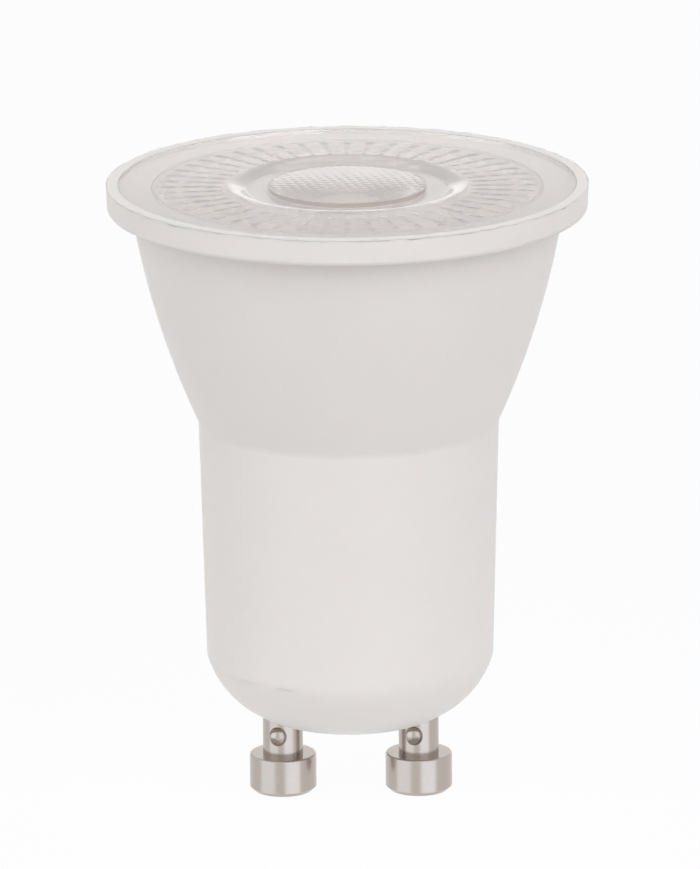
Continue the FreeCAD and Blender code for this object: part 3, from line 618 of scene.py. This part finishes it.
def cone_profile(lens, plate):
    """Profile of the cone under the plate and of the cavity over the light."""
    bottom = LENS_LOW.z
    roof = bottom + lens.cavity_height
    points = [(lens.cone_top, plate)]
    points += arc(points[-1], (lens.cone_bottom, bottom), lens.cone_bulge, CONE_STEPS)
    points.append((lens.cavity_mouth, bottom))
    points += arc(points[-1], (lens.cavity_roof, roof), 0.0, CAVITY_STEPS)
    points += arc(points[-1], (0.0, roof - lens.roof_sag), lens.roof_bulge, ROOF_STEPS)
    return points


def lens_profile(lens):
    """Profile of the clear lens, and the ranges of its rings with small lenses and with facets."""
    top = LENS_HIGH.z + lens.lift
    plate = top - lens.plate_height
    points = disc_profile(lens, top)
    disc_end = len(points)
    points += rim_profile(lens, top, plate)
    facet_start = len(points)
    points += facet_profile(lens, plate)
    facet_end = len(points)
    points += cone_profile(lens, plate)
    return points, {"beads": (0, disc_end), "facets": (facet_start, facet_end)}


def facet_cells(tree, lens, x, y, radius):
    """Where a point lies in its facet, across it and along it from -1 to 1, and how far it lies inside
    the ring of facets."""
    sectors = tree.input("Facets around", float(lens.sectors))
    rows = tree.input("Rows of facets", float(lens.rows))
    inside = tree.input("Facets inside", lens.facet_inside)
    outside = tree.input("Facets outside", lens.facet_outside)

    def off_middle(cells):
        return tree.math("MULTIPLY_ADD", tree.math("FRACT", cells), 2.0, -1.0)

    around = tree.math("DIVIDE", tree.math("ARCTAN2", y, x), 2 * math.pi)
    across = off_middle(tree.times(around, sectors))
    span = tree.math("SUBTRACT", outside, inside)
    ring = tree.math("DIVIDE", tree.math("SUBTRACT", radius, inside), span)
    along = off_middle(tree.times(ring, rows))
    edge = tree.math("MINIMUM", ring, tree.math("SUBTRACT", 1.0, ring))
    return across, along, edge


def facet_grooves(tree, lens, across, along, edge):
    """Rise of the underside into the grooves between the pillow facets."""
    depth = tree.input("Facet depth", lens.facet_depth)
    row_break = tree.input("Row break", lens.row_break)
    row_groove = tree.input("Row groove", lens.row_groove)
    # The grooves run out over a seventh of the ring at both of its edges.
    run_out = 7.0

    def fourth_power(value):
        square = tree.times(value, value)
        return tree.times(square, square)

    row_end = fourth_power(along)
    whole = tree.math("SUBTRACT", 1.0, tree.times(row_end, row_break))
    spoke = tree.times(fourth_power(across), whole)
    pillow = tree.math("MULTIPLY_ADD", row_end, row_groove, spoke)
    fade = tree.math("MINIMUM", tree.times(edge, run_out), 1.0)
    depth_here = tree.times(depth, fade)
    return tree.times(pillow, depth_here, tree.mark("facets"))


def bead_domes(tree, lens, x, y):
    """Relief of the small lenses on the disc. Every second row is shifted by half a pitch."""
    pitch = tree.input("Bead pitch", lens.bead_pitch)
    rise = tree.input("Bead rise", lens.bead_rise)
    turn = tree.input("Bead turn", lens.bead_turn)
    row_repeat = math.sqrt(3.0)
    fall_along = 0.35
    steepness = 3.0
    cosine = tree.math("COSINE", turn)
    sine = tree.math("SINE", turn)
    row_x = tree.math("SUBTRACT", tree.times(x, cosine), tree.times(y, sine))
    row_y = tree.math("ADD", tree.times(x, sine), tree.times(y, cosine))
    cell_x = tree.math("DIVIDE", row_x, pitch)
    cell_y = tree.math("DIVIDE", row_y, tree.times(pitch, row_repeat))

    def squared_part(cell, shift):
        part = tree.math("SUBTRACT", tree.math("FRACT", tree.math("ADD", cell, shift)), 0.5)
        return tree.times(part, part)

    def far_from_middle(shift):
        wide = tree.times(squared_part(cell_x, shift), fall_along)
        tall = tree.times(squared_part(cell_y, shift), row_repeat ** 2)
        return tree.math("ADD", wide, tall)

    nearest = tree.math("MINIMUM", far_from_middle(0.0), far_from_middle(0.5))
    dome = tree.times(nearest, -steepness)
    return tree.times(dome, rise, tree.mark("beads"))


def paint_lens(tree, geometry, lens, finishes, cells, radius, height):
    """A haze on top, clear below, painted shade along the facets' edges in place of the dark light that
    they refract, and frost on the cone, in the dish and below the edge."""
    across, along, edge = cells
    low = tree.math("LESS_THAN", height, tree.input("Underside below", ledge_level(lens) - HAIR))
    on_top = tree.math("SUBTRACT", 1.0, low)
    # Painted shade: the facets' edges below get the darker finish.
    painted_edge_start = tree.math("SUBTRACT", 1.0, tree.input("Painted edge", lens.stroke))
    by_edge = tree.math("GREATER_THAN", tree.math("ABSOLUTE", across), painted_edge_start)
    in_row = tree.math("LESS_THAN", tree.math("ABSOLUTE", along), painted_edge_start)
    on_facet = tree.math("GREATER_THAN", edge, 0.0)
    stroke = tree.times(by_edge, in_row, on_facet, low)
    cone = tree.math("LESS_THAN", radius, tree.input("Frosted cone", lens.frost_cone))
    off_disc = tree.math("GREATER_THAN", radius, tree.input("Frosted dish inside", lens.frost_inside))
    in_dish = tree.math("LESS_THAN", radius, tree.input("Frosted dish outside", lens.frost_outside))
    dish = tree.times(off_disc, in_dish, on_top)
    edge_ring = tree.math("GREATER_THAN", radius, tree.input("Frosted ring", lens.frost_ring))
    painted = tree.paint(geometry, finishes["hazed"])
    painted = tree.paint(painted, finishes["clear"], low)
    painted = tree.paint(painted, finishes["strokes"], stroke)
    painted = tree.paint(painted, finishes["frosted"], tree.times(cone, low))
    painted = tree.paint(painted, finishes["frosted"], dish)
    return tree.paint(painted, finishes["frosted"], tree.times(edge_ring, low))


def lens_tree(lens, finishes):
    """Pillow facets on the underside of the lens and small lenses on its raised disc."""
    tree = Tree("lens_facets")
    x, y, height = tree.place()[1]
    square = tree.math("ADD", tree.times(x, x), tree.times(y, y))
    radius = tree.math("SQRT", square)
    cells = facet_cells(tree, lens, x, y, radius)
    relief = tree.math("ADD", facet_grooves(tree, lens, *cells), bead_domes(tree, lens, x, y))
    shaped = tree.realize(tree.raise_by(tree.entry.outputs["Geometry"], relief))
    tree.finish(paint_lens(tree, shaped, lens, finishes, cells, radius, height))
    return tree


def flash_tree(rim, material):
    """A ragged thread of flash along the rim's top edge, thickest on the front."""
    tree = Tree("rim_flash")
    ring = tree.input("Ring radius", HOUSING_HIGH.x - rim.inset)
    level = tree.input("Ring height", HOUSING_HIGH.z - rim.inset)
    thick = tree.input("Flash radius", rim.radius)
    waver = tree.input("Flash waver", rim.waver)
    grain = tree.input("Flash grain", rim.grain)
    thinnest = tree.input("Thinnest", rim.thinnest)
    back_share = tree.input("Back", rim.back)
    front, back = -1.0, 0.6
    thin_noise, thick_noise = 0.4, 0.62
    swell_seed, wander_seed = 3.0, 9.0
    position, (_, y, _) = tree.place()

    def circle(resolution, radius):
        node = tree.add("GeometryNodeCurvePrimitiveCircle")
        tree.feed(node.inputs["Resolution"], resolution)
        tree.feed(node.inputs["Radius"], radius)
        return node.outputs["Curve"]

    def rough(seed):
        node = tree.add("ShaderNodeTexNoise", noise_dimensions="4D")
        settings = {"Vector": position, "W": seed, "Scale": grain, "Detail": 5.0}
        for name, value in settings.items():
            tree.feed(node.inputs[name], value)
        return node.outputs["Fac"]

    along = tree.math("DIVIDE", y, ring)
    facing = mapped(tree.group, along, front, back, 1.0, back_share)
    ragged = mapped(tree.group, rough(swell_seed), thin_noise, thick_noise, thinnest, 1.0)
    swell = tree.times(ragged, facing)
    wander = tree.times(tree.math("SUBTRACT", rough(wander_seed), 0.5), waver)
    path = tree.raise_by(circle(FLASH_STEPS, ring), tree.math("ADD", level, wander))
    sweep = tree.add("GeometryNodeCurveToMesh")
    tree.feed(sweep.inputs["Curve"], path)
    tree.feed(sweep.inputs["Profile Curve"], circle(FLASH_SIDES, thick))
    tree.feed(sweep.inputs["Scale"], swell)
    tree.finish(tree.paint(tree.realize(sweep.outputs["Mesh"]), material))
    return tree


def clear_plastic(name, colour, clearness, roughness):
    """Clear moulded plastic; a lower clearness leaves a haze on its skin."""
    waver = 0.5
    material, shader = new_material(name)
    tree = material.node_tree
    shader.inputs["Transmission Weight"].default_value = clearness
    shader.inputs["IOR"].default_value = 1.49
    mottle(tree, shader, noise(tree, scale=300.0), colour, depth=0.01)
    gloss(tree, shader, noise(tree, scale=700.0), roughness * (1 - waver), roughness * (1 + waver))
    return material


def white_plastic(name, colour):
    """White moulded plastic with a satin skin."""
    material, shader = new_material(name)
    tree = material.node_tree
    mottle(tree, shader, noise(tree, scale=260.0, detail=5.0), colour, depth=0.012)
    gloss(tree, shader, noise(tree, scale=1200.0), low=0.38, high=0.5)
    bump(tree, shader, noise(tree, scale=2600.0, detail=3.0), strength=0.05, height=0.02 * MM)
    shader.inputs["Subsurface Weight"].default_value = 0.3
    shader.inputs["Subsurface Radius"].default_value = (1.0, 0.6, 0.45)
    shader.inputs["Subsurface Scale"].default_value = 0.8 * MM
    return material


def crease_mask(tree, housing, height, radius):
    """1 on the outside of the crease."""
    above = compute(tree, "GREATER_THAN", height, housing.crease_low)["Value"]
    below = compute(tree, "LESS_THAN", height, housing.crease_high)["Value"]
    outside = compute(tree, "GREATER_THAN", radius, housing.crease_inside)["Value"]
    band = compute(tree, "MULTIPLY", above, below)["Value"]
    return compute(tree, "MULTIPLY", band, outside)["Value"]


def soften_crease(material, housing):
    """Turn the shading evenly over the crease above the foot."""
    tree = material.node_tree
    height = own_height(tree)
    flat = compute(tree, "MULTIPLY", own_place(tree), (1.0, 1.0, 0.0), kind=VECTOR_MATH)["Vector"]
    radius = compute(tree, "LENGTH", flat, kind=VECTOR_MATH)["Value"]
    outward = compute(tree, "NORMALIZE", flat, kind=VECTOR_MATH)["Vector"]
    tilt = mapped(
        tree, height, housing.crease_low, housing.crease_high, housing.foot_tilt, housing.neck_tilt)
    cosine = compute(tree, "COSINE", tilt)["Value"]
    side = compute(tree, "MULTIPLY", outward, cosine, kind=VECTOR_MATH)["Vector"]
    rise = tree.nodes.new("ShaderNodeCombineXYZ")
    tree.links.new(compute(tree, "SINE", tilt)["Value"], rise.inputs["Z"])
    turned = compute(tree, "ADD", side, rise.outputs["Vector"], kind=VECTOR_MATH)["Vector"]
    facing = tree.nodes.new("ShaderNodeVectorTransform")
    facing.vector_type = "NORMAL"
    facing.convert_from = "OBJECT"
    facing.convert_to = "WORLD"
    tree.links.new(turned, facing.inputs["Vector"])
    plain = tree.nodes.new("ShaderNodeNewGeometry").outputs["Normal"]
    mask = crease_mask(tree, housing, height, radius)
    normal = mixed(tree, mask, plain, facing.outputs["Vector"], kind="VECTOR")
    tree.links.new(normal, tree.nodes["Bump"].inputs["Normal"])


def flash_plastic(finish, rim):
    """The housing's plastic, with shade painted in ragged patches under the flash's edge, where its
    overhang casts a shadow.
    """
    colour = [value * finish.flash_shade for value in finish.plastic]
    material = white_plastic("white plastic flash", colour)
    tree = material.node_tree
    base = tree.nodes["Principled BSDF"].inputs["Base Color"]
    clean = base.links[0].from_socket
    level = HOUSING_HIGH.z - rim.inset
    # Painted shadow in ragged patches just under the flash.
    below = mapped(tree, own_height(tree), level - rim.painted_shade_top, level - rim.painted_shade_bottom, 0.0, 1.0)
    patches = spread(tree, noise(tree, scale=600.0), low=0.1, high=0.8)
    painted_shade_share = compute(tree, "MULTIPLY", below, patches)["Value"]
    tree.links.new(mixed(tree, painted_shade_share, clean, (*finish.dirt, 1.0)), base)
    return material


def turned_nickel(colour):
    """Nickel plate over turned metal, with fine rings around the pin."""
    material, shader = new_material("turned nickel")
    tree = material.node_tree
    shader.inputs["Metallic"].default_value = 1.0
    shader.inputs["Anisotropic"].default_value = 0.4
    mottle(tree, shader, noise(tree, scale=1100.0), colour, depth=0.03)
    rings = noise(tree, scale=5000.0, detail=3.0, stretch=(0.15, 0.15, 1.0))
    gloss(tree, shader, rings, low=0.18, high=0.26)
    around = tree.nodes.new("ShaderNodeTangent")
    around.direction_type = "RADIAL"
    around.axis = "Z"
    tree.links.new(around.outputs["Tangent"], shader.inputs["Tangent"])
    return material


def insulated_lead(name, colour):
    """Soft insulation on a lead, stripped to the tinned copper above the light board's underside."""
    material = plain_finish(name, colour, roughness=0.45)
    tree = material.node_tree
    shader = tree.nodes["Principled BSDF"]
    base = shader.inputs["Base Color"]
    insulation = base.links[0].from_socket
    bare = compute(tree, "GREATER_THAN", own_height(tree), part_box("led_board")[0].z)["Value"]
    tree.links.new(mixed(tree, bare, insulation, (*TINNED_COPPER, 1.0)), base)
    tree.links.new(bare, shader.inputs["Metallic"])
    return material


class BULB_OT_housing(bpy.types.Operator):
    """Give the housing its white plastic"""

    bl_idname = "bulb.housing"
    bl_label = "Housing"

    def execute(self, context):
        material = white_plastic("white plastic", context.scene.bulb_finish.plastic)
        soften_crease(material, context.scene.bulb_housing)
        dress("housing", material)
        return {"FINISHED"}


class BULB_OT_flash(bpy.types.Operator):
    """Lay the moulding flash along the rim"""

    bl_idname = "bulb.flash"
    bl_label = "Rim flash"

    def execute(self, context):
        piece = add_piece("rim_flash", bpy.data.meshes.new("rim_flash"))
        rim = context.scene.bulb_rim
        flash_tree(rim, flash_plastic(context.scene.bulb_finish, rim)).apply(piece)
        keep_result(piece)
        piece.data.shade_smooth()
        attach(piece, "root")
        return {"FINISHED"}


class BULB_OT_lens(bpy.types.Operator):
    """Mould the clear lens with its facets and small lenses"""

    bl_idname = "bulb.lens"
    bl_label = "Lens"

    def execute(self, context):
        lens = context.scene.bulb_lens
        finish = context.scene.bulb_finish
        frost = [value * finish.frost_shade for value in finish.clear]
        finishes = {
            "hazed": clear_plastic("hazed clear plastic", finish.clear, clearness=0.88, roughness=0.04),
            "clear": clear_plastic("clear plastic", finish.clear, clearness=1.0, roughness=0.04),
            # Painted shade along the facets' edges.
            "strokes": clear_plastic("facet edges with painted shade", finish.strokes, clearness=1.0, roughness=0.04),
            "frosted": clear_plastic("frosted clear plastic", frost, clearness=0.6, roughness=0.08),
        }
        profile, marks = lens_profile(lens)
        segments = lens.sectors * STEPS_PER_FACET
        piece = add_piece("clear_lens", lathe("clear_lens", profile, marks, segments))
        lens_tree(lens, finishes).apply(piece)
        keep_result(piece)
        piece.data.shade_smooth()
        piece.data.set_sharp_from_angle(angle=lens.sharp_edges)
        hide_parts("lens")
        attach(piece, "root")
        return {"FINISHED"}


class BULB_OT_pins(bpy.types.Operator):
    """Give the contact pins their nickel"""

    bl_idname = "bulb.pins"
    bl_label = "Contact pins"

    def execute(self, context):
        material = turned_nickel(context.scene.bulb_finish.nickel)
        dress_alike(("contact_pin_left", "contact_pin_right"), material)
        return {"FINISHED"}


class BULB_OT_light_board(bpy.types.Operator):
    """Finish the heat sink, the light board behind the lens, the leads and the solder"""

    bl_idname = "bulb.light_board"
    bl_label = "Light board"

    def execute(self, context):
        dress_plainly({
            "heat_sink_cup": ("white lacquer on drawn aluminium", (0.94, 0.9, 0.865), 0.5),
            "thermal_pad": ("thermal silicone", (0.5, 0.52, 0.55), 0.7),
            "led_board": ("white solder mask", (0.8, 0.77, 0.745), 0.4),
            "led_package": ("white ceramic", (0.88, 0.87, 0.84), 0.5),
            "led_phosphor": ("yellow phosphor gel", (0.85, 0.68, 0.18), 0.35),
        })
        dress("board_screws", plain_finish("zinc plate", (0.7, 0.7, 0.7), roughness=0.35, metallic=1.0))
        dress("led_lead_positive", insulated_lead("red insulation", (0.6, 0.06, 0.05)))
        dress("led_lead_negative", insulated_lead("black insulation", (0.05, 0.05, 0.05)))
        tinned = plain_finish("tinned copper", TINNED_COPPER, roughness=0.3, metallic=1.0)
        dress_alike(("mains_lead_left", "mains_lead_right"), tinned)
        solder = plain_finish("solder", (0.68, 0.68, 0.69), roughness=0.25, metallic=1.0)
        dress_alike(("led_solder_joints", "mains_solder_joints"), solder)
        return {"FINISHED"}


class BULB_OT_driver(bpy.types.Operator):
    """Finish the driver board and its parts"""

    bl_idname = "bulb.driver"
    bl_label = "Driver"

    def execute(self, context):
        dress_plainly({
            "driver_board": ("green solder mask", (0.03, 0.16, 0.06), 0.35),
            "input_capacitor": ("black sleeve", (0.03, 0.03, 0.035), 0.4),
            "output_capacitor": ("dark blue sleeve", (0.03, 0.04, 0.09), 0.4),
            "drum_inductor": ("ferrite and copper", (0.2, 0.12, 0.07), 0.5),
            "fuse_resistor": ("grey-green lacquer", (0.3, 0.36, 0.3), 0.4),
        })
        epoxy = plain_finish("black epoxy", (0.025, 0.025, 0.027), roughness=0.5)
        dress_alike(("bridge_rectifier", "driver_chip", "output_diode", "chip_resistors"), epoxy)
        return {"FINISHED"}


def background_rays(tree):
    """1 for the rays that show the white background: seen directly, mirrored or through the lens."""
    path = tree.nodes.new("ShaderNodeLightPath").outputs
    seen = compute(tree, "MAXIMUM", path["Is Camera Ray"], path["Is Glossy Ray"])["Value"]
    return compute(tree, "MAXIMUM", seen, path["Is Transmission Ray"])["Value"]


def mix_shaders(tree, factor, first, second, surface):
    """Two shaders mixed by a factor, sent to a surface."""
    mix = tree.nodes.new("ShaderNodeMixShader")
    tree.links.new(factor, mix.inputs["Fac"])
    tree.links.new(first, mix.inputs[1])
    tree.links.new(second, mix.inputs[2])
    tree.links.new(mix.outputs["Shader"], surface)


def floor_material(stage):
    """Floor that glows by itself in a painted pool of light round the bulb. It reads white to the camera
    and through the lens, and keeps part of the shadow."""
    material, surface = bare_material("white floor")
    tree = material.node_tree
    diffuse = tree.nodes.new("ShaderNodeBsdfDiffuse")
    diffuse.inputs["Color"].default_value = [stage.floor_grey] * 3 + [1.0]
    reach = tree.nodes.new("ShaderNodeMapping")
    reach.inputs["Scale"].default_value = [1.0 / POOL_RADIUS] * 3
    tree.links.new(own_place(tree), reach.inputs["Vector"])
    pool = tree.nodes.new("ShaderNodeTexGradient")
    pool.gradient_type = "SPHERICAL"
    tree.links.new(reach.outputs["Vector"], pool.inputs["Vector"])
    # Painted light: the floor glows in the pool round the bulb.
    lift = tree.nodes.new("ShaderNodeEmission")
    strength = compute(tree, "MULTIPLY", pool.outputs["Fac"], stage.pool)["Value"]
    tree.links.new(strength, lift.inputs["Strength"])
    lit = tree.nodes.new("ShaderNodeAddShader")
    tree.links.new(diffuse.outputs["BSDF"], lit.inputs[0])
    tree.links.new(lift.outputs["Emission"], lit.inputs[1])
    white = tree.nodes.new("ShaderNodeEmission")
    share = compute(tree, "MULTIPLY", background_rays(tree), stage.floor_white)["Value"]
    mix_shaders(tree, share, lit.outputs["Shader"], white.outputs["Emission"], surface)
    return material


def rectangle(name, corners, material):
    """A flat mesh through four corners."""
    mesh = bpy.data.meshes.new(name)
    mesh.from_pydata(corners, [], [(0, 1, 2, 3)])
    mesh.materials.append(material)
    return mesh


def add_floor(stage):
    """The floor, which doesn't show in reflections."""
    side = FLOOR_SIDE
    level = FLOOR_LEVEL
    corners = [(-side, -side, level), (side, -side, level), (side, side, level), (-side, side, level)]
    floor = add_piece("floor", rectangle("floor", corners, floor_material(stage)))
    floor.visible_glossy = False


def backdrop_material(stage):
    """A glow that changes with the height."""
    material, surface = bare_material("graded backdrop")
    tree = material.node_tree
    glow = tree.nodes.new("ShaderNodeEmission")
    height = own_height(tree)
    strength = mapped(tree, height, GRADE_BOTTOM, GRADE_TOP, stage.backdrop_low, stage.backdrop_high)
    tree.links.new(strength, glow.inputs["Strength"])
    tree.links.new(glow.outputs["Emission"], surface)
    return material


def add_backdrop(stage):
    """A graded card behind the bulb that only shows in reflections."""
    side = BACKDROP_SIDE
    low = BACKDROP_BOTTOM
    high = BACKDROP_TOP
    places = ((-side, low), (side, low), (side, high), (-side, high))
    corners = [(x, BACKDROP_BEHIND, z) for x, z in places]
    backdrop = add_piece("backdrop", rectangle("backdrop", corners, backdrop_material(stage)))
    backdrop.visible_camera = False
    backdrop.visible_diffuse = False
    backdrop.visible_transmission = False
    backdrop.visible_shadow = False


def add_lamp(name, azimuth, elevation, size, brightness, colour):
    """A soft lamp that faces the bulb. The azimuth counts from the camera's side to the right."""
    lamp = bpy.data.lights.new(name, "AREA")
    lamp.shape = "RECTANGLE"
    lamp.size, lamp.size_y = size
    lamp.energy = brightness * 4 * size[0] * size[1]
    lamp.color = colour
    holder = add_piece(name, lamp)
    level = math.cos(elevation)
    toward = Vector((math.sin(azimuth) * level, -math.cos(azimuth) * level, math.sin(elevation)))
    holder.location = BULB_MIDDLE + toward * LAMP_DISTANCE
    holder.rotation_euler = toward.to_track_quat("Z", "Y").to_euler()
    holder.visible_camera = False
    return holder


def add_lamps(stage):
    """A softbox and a card on each side, and a lamp over the camera. The lens doesn't mirror the
    softboxes, and the cards only show in reflections."""
    for side, (azimuth, softbox_share, card_share) in SIDES.items():
        softbox = add_lamp(
            f"softbox_{side}", azimuth * SOFTBOX_TURN, stage.softbox_elevation, SOFTBOX_SIZE,
            stage.softbox * softbox_share, stage.daylight)
        softbox.visible_glossy = False
        card = add_lamp(
            f"card_{side}", azimuth, stage.card_elevation, CARD_SIZE, stage.card * card_share,
            stage.card_colour)
        card.visible_diffuse = False
        card.visible_transmission = False
    add_lamp("key", stage.key_azimuth, stage.key_elevation, KEY_SIZE, stage.key, stage.daylight)


def add_world(stage):
    """Soft light all round, white where it is seen directly, mirrored or through the lens."""
    world = bpy.data.worlds.new("soft tent")
    bpy.context.scene.world = world
    world.use_nodes = True
    tree = world.node_tree
    tree.nodes.clear()
    surface = tree.nodes.new("ShaderNodeOutputWorld").inputs["Surface"]
    light = tree.nodes.new("ShaderNodeBackground")
    light.inputs["Color"].default_value = (*stage.sky, 1.0)
    white = tree.nodes.new("ShaderNodeBackground")
    white.inputs["Color"].default_value = (1.0, 1.0, 1.0, 1.0)
    seen = background_rays(tree)
    mix_shaders(tree, seen, light.outputs["Background"], white.outputs["Background"], surface)


def add_camera(stage):
    """Camera at the picture's viewing angle."""
    camera = bpy.data.cameras.new("camera")
    camera.sensor_width = SENSOR
    camera.lens = stage.focal_length
    camera.clip_start = 0.01
    camera.clip_end = 50.0
    holder = add_piece("camera", camera)
    back = Vector((0.0, -math.cos(stage.elevation), math.sin(stage.elevation)))
    holder.location = BULB_MIDDLE + back * stage.distance
    pixels = stage.focal_length / SENSOR * PICTURE_HEIGHT
    up_tilt = Quaternion((1.0, 0.0, 0.0), math.atan(stage.aim_up / pixels))
    left_turn = Quaternion((0.0, 1.0, 0.0), math.atan(stage.aim_left / pixels))
    roll = Quaternion((0.0, 0.0, 1.0), stage.roll)
    holder.rotation_mode = "QUATERNION"
    holder.rotation_quaternion = (-back).to_track_quat("-Z", "Y") @ up_tilt @ left_turn @ roll
    bpy.context.scene.camera = holder


class BULB_OT_stage(bpy.types.Operator):
    """Set up the floor, the light and the camera"""

    bl_idname = "bulb.stage"
    bl_label = "Stage"

    def execute(self, context):
        stage = context.scene.bulb_stage
        add_floor(stage)
        add_world(stage)
        add_lamps(stage)
        add_backdrop(stage)
        add_camera(stage)
        context.scene.view_settings.view_transform = "Standard"
        context.scene.cycles.max_bounces = 32
        context.scene.cycles.diffuse_bounces = 10
        context.scene.cycles.transmission_bounces = 24
        context.scene.cycles.glossy_bounces = 16
        return {"FINISHED"}


OPERATORS = (
    BULB_OT_housing,
    BULB_OT_flash,
    BULB_OT_lens,
    BULB_OT_pins,
    BULB_OT_light_board,
    BULB_OT_driver,
    BULB_OT_stage,
)


class BULB_PT_panel(bpy.types.Panel):
    """The steps that dress the bulb"""

    bl_idname = "BULB_PT_panel"
    bl_label = "Spotlight bulb"
    bl_space_type = "VIEW_3D"
    bl_region_type = "UI"
    bl_category = "Bulb"

    def draw(self, context):
        for operator in OPERATORS:
            self.layout.operator(operator.bl_idname)


GROUPS = {
    "bulb_lens": BulbLens,
    "bulb_housing": BulbHousing,
    "bulb_rim": BulbRim,
    "bulb_finish": BulbFinish,
    "bulb_stage": BulbStage,
}
CLASSES = (*GROUPS.values(), *OPERATORS, BULB_PT_panel)


def register():
    for item in CLASSES:
        bpy.utils.register_class(item)
    for name, group in GROUPS.items():
        setattr(bpy.types.Scene, name, PointerProperty(type=group))


def unregister():
    for name in GROUPS:
        delattr(bpy.types.Scene, name)
    for item in reversed(CLASSES):
        bpy.utils.unregister_class(item)


def main():
    register()
    bpy.ops.bulb.housing()
    bpy.ops.bulb.flash()
    bpy.ops.bulb.lens()
    bpy.ops.bulb.pins()
    bpy.ops.bulb.light_board()
    bpy.ops.bulb.driver()
    bpy.ops.bulb.stage()


if __name__ == "__main__":
    main()
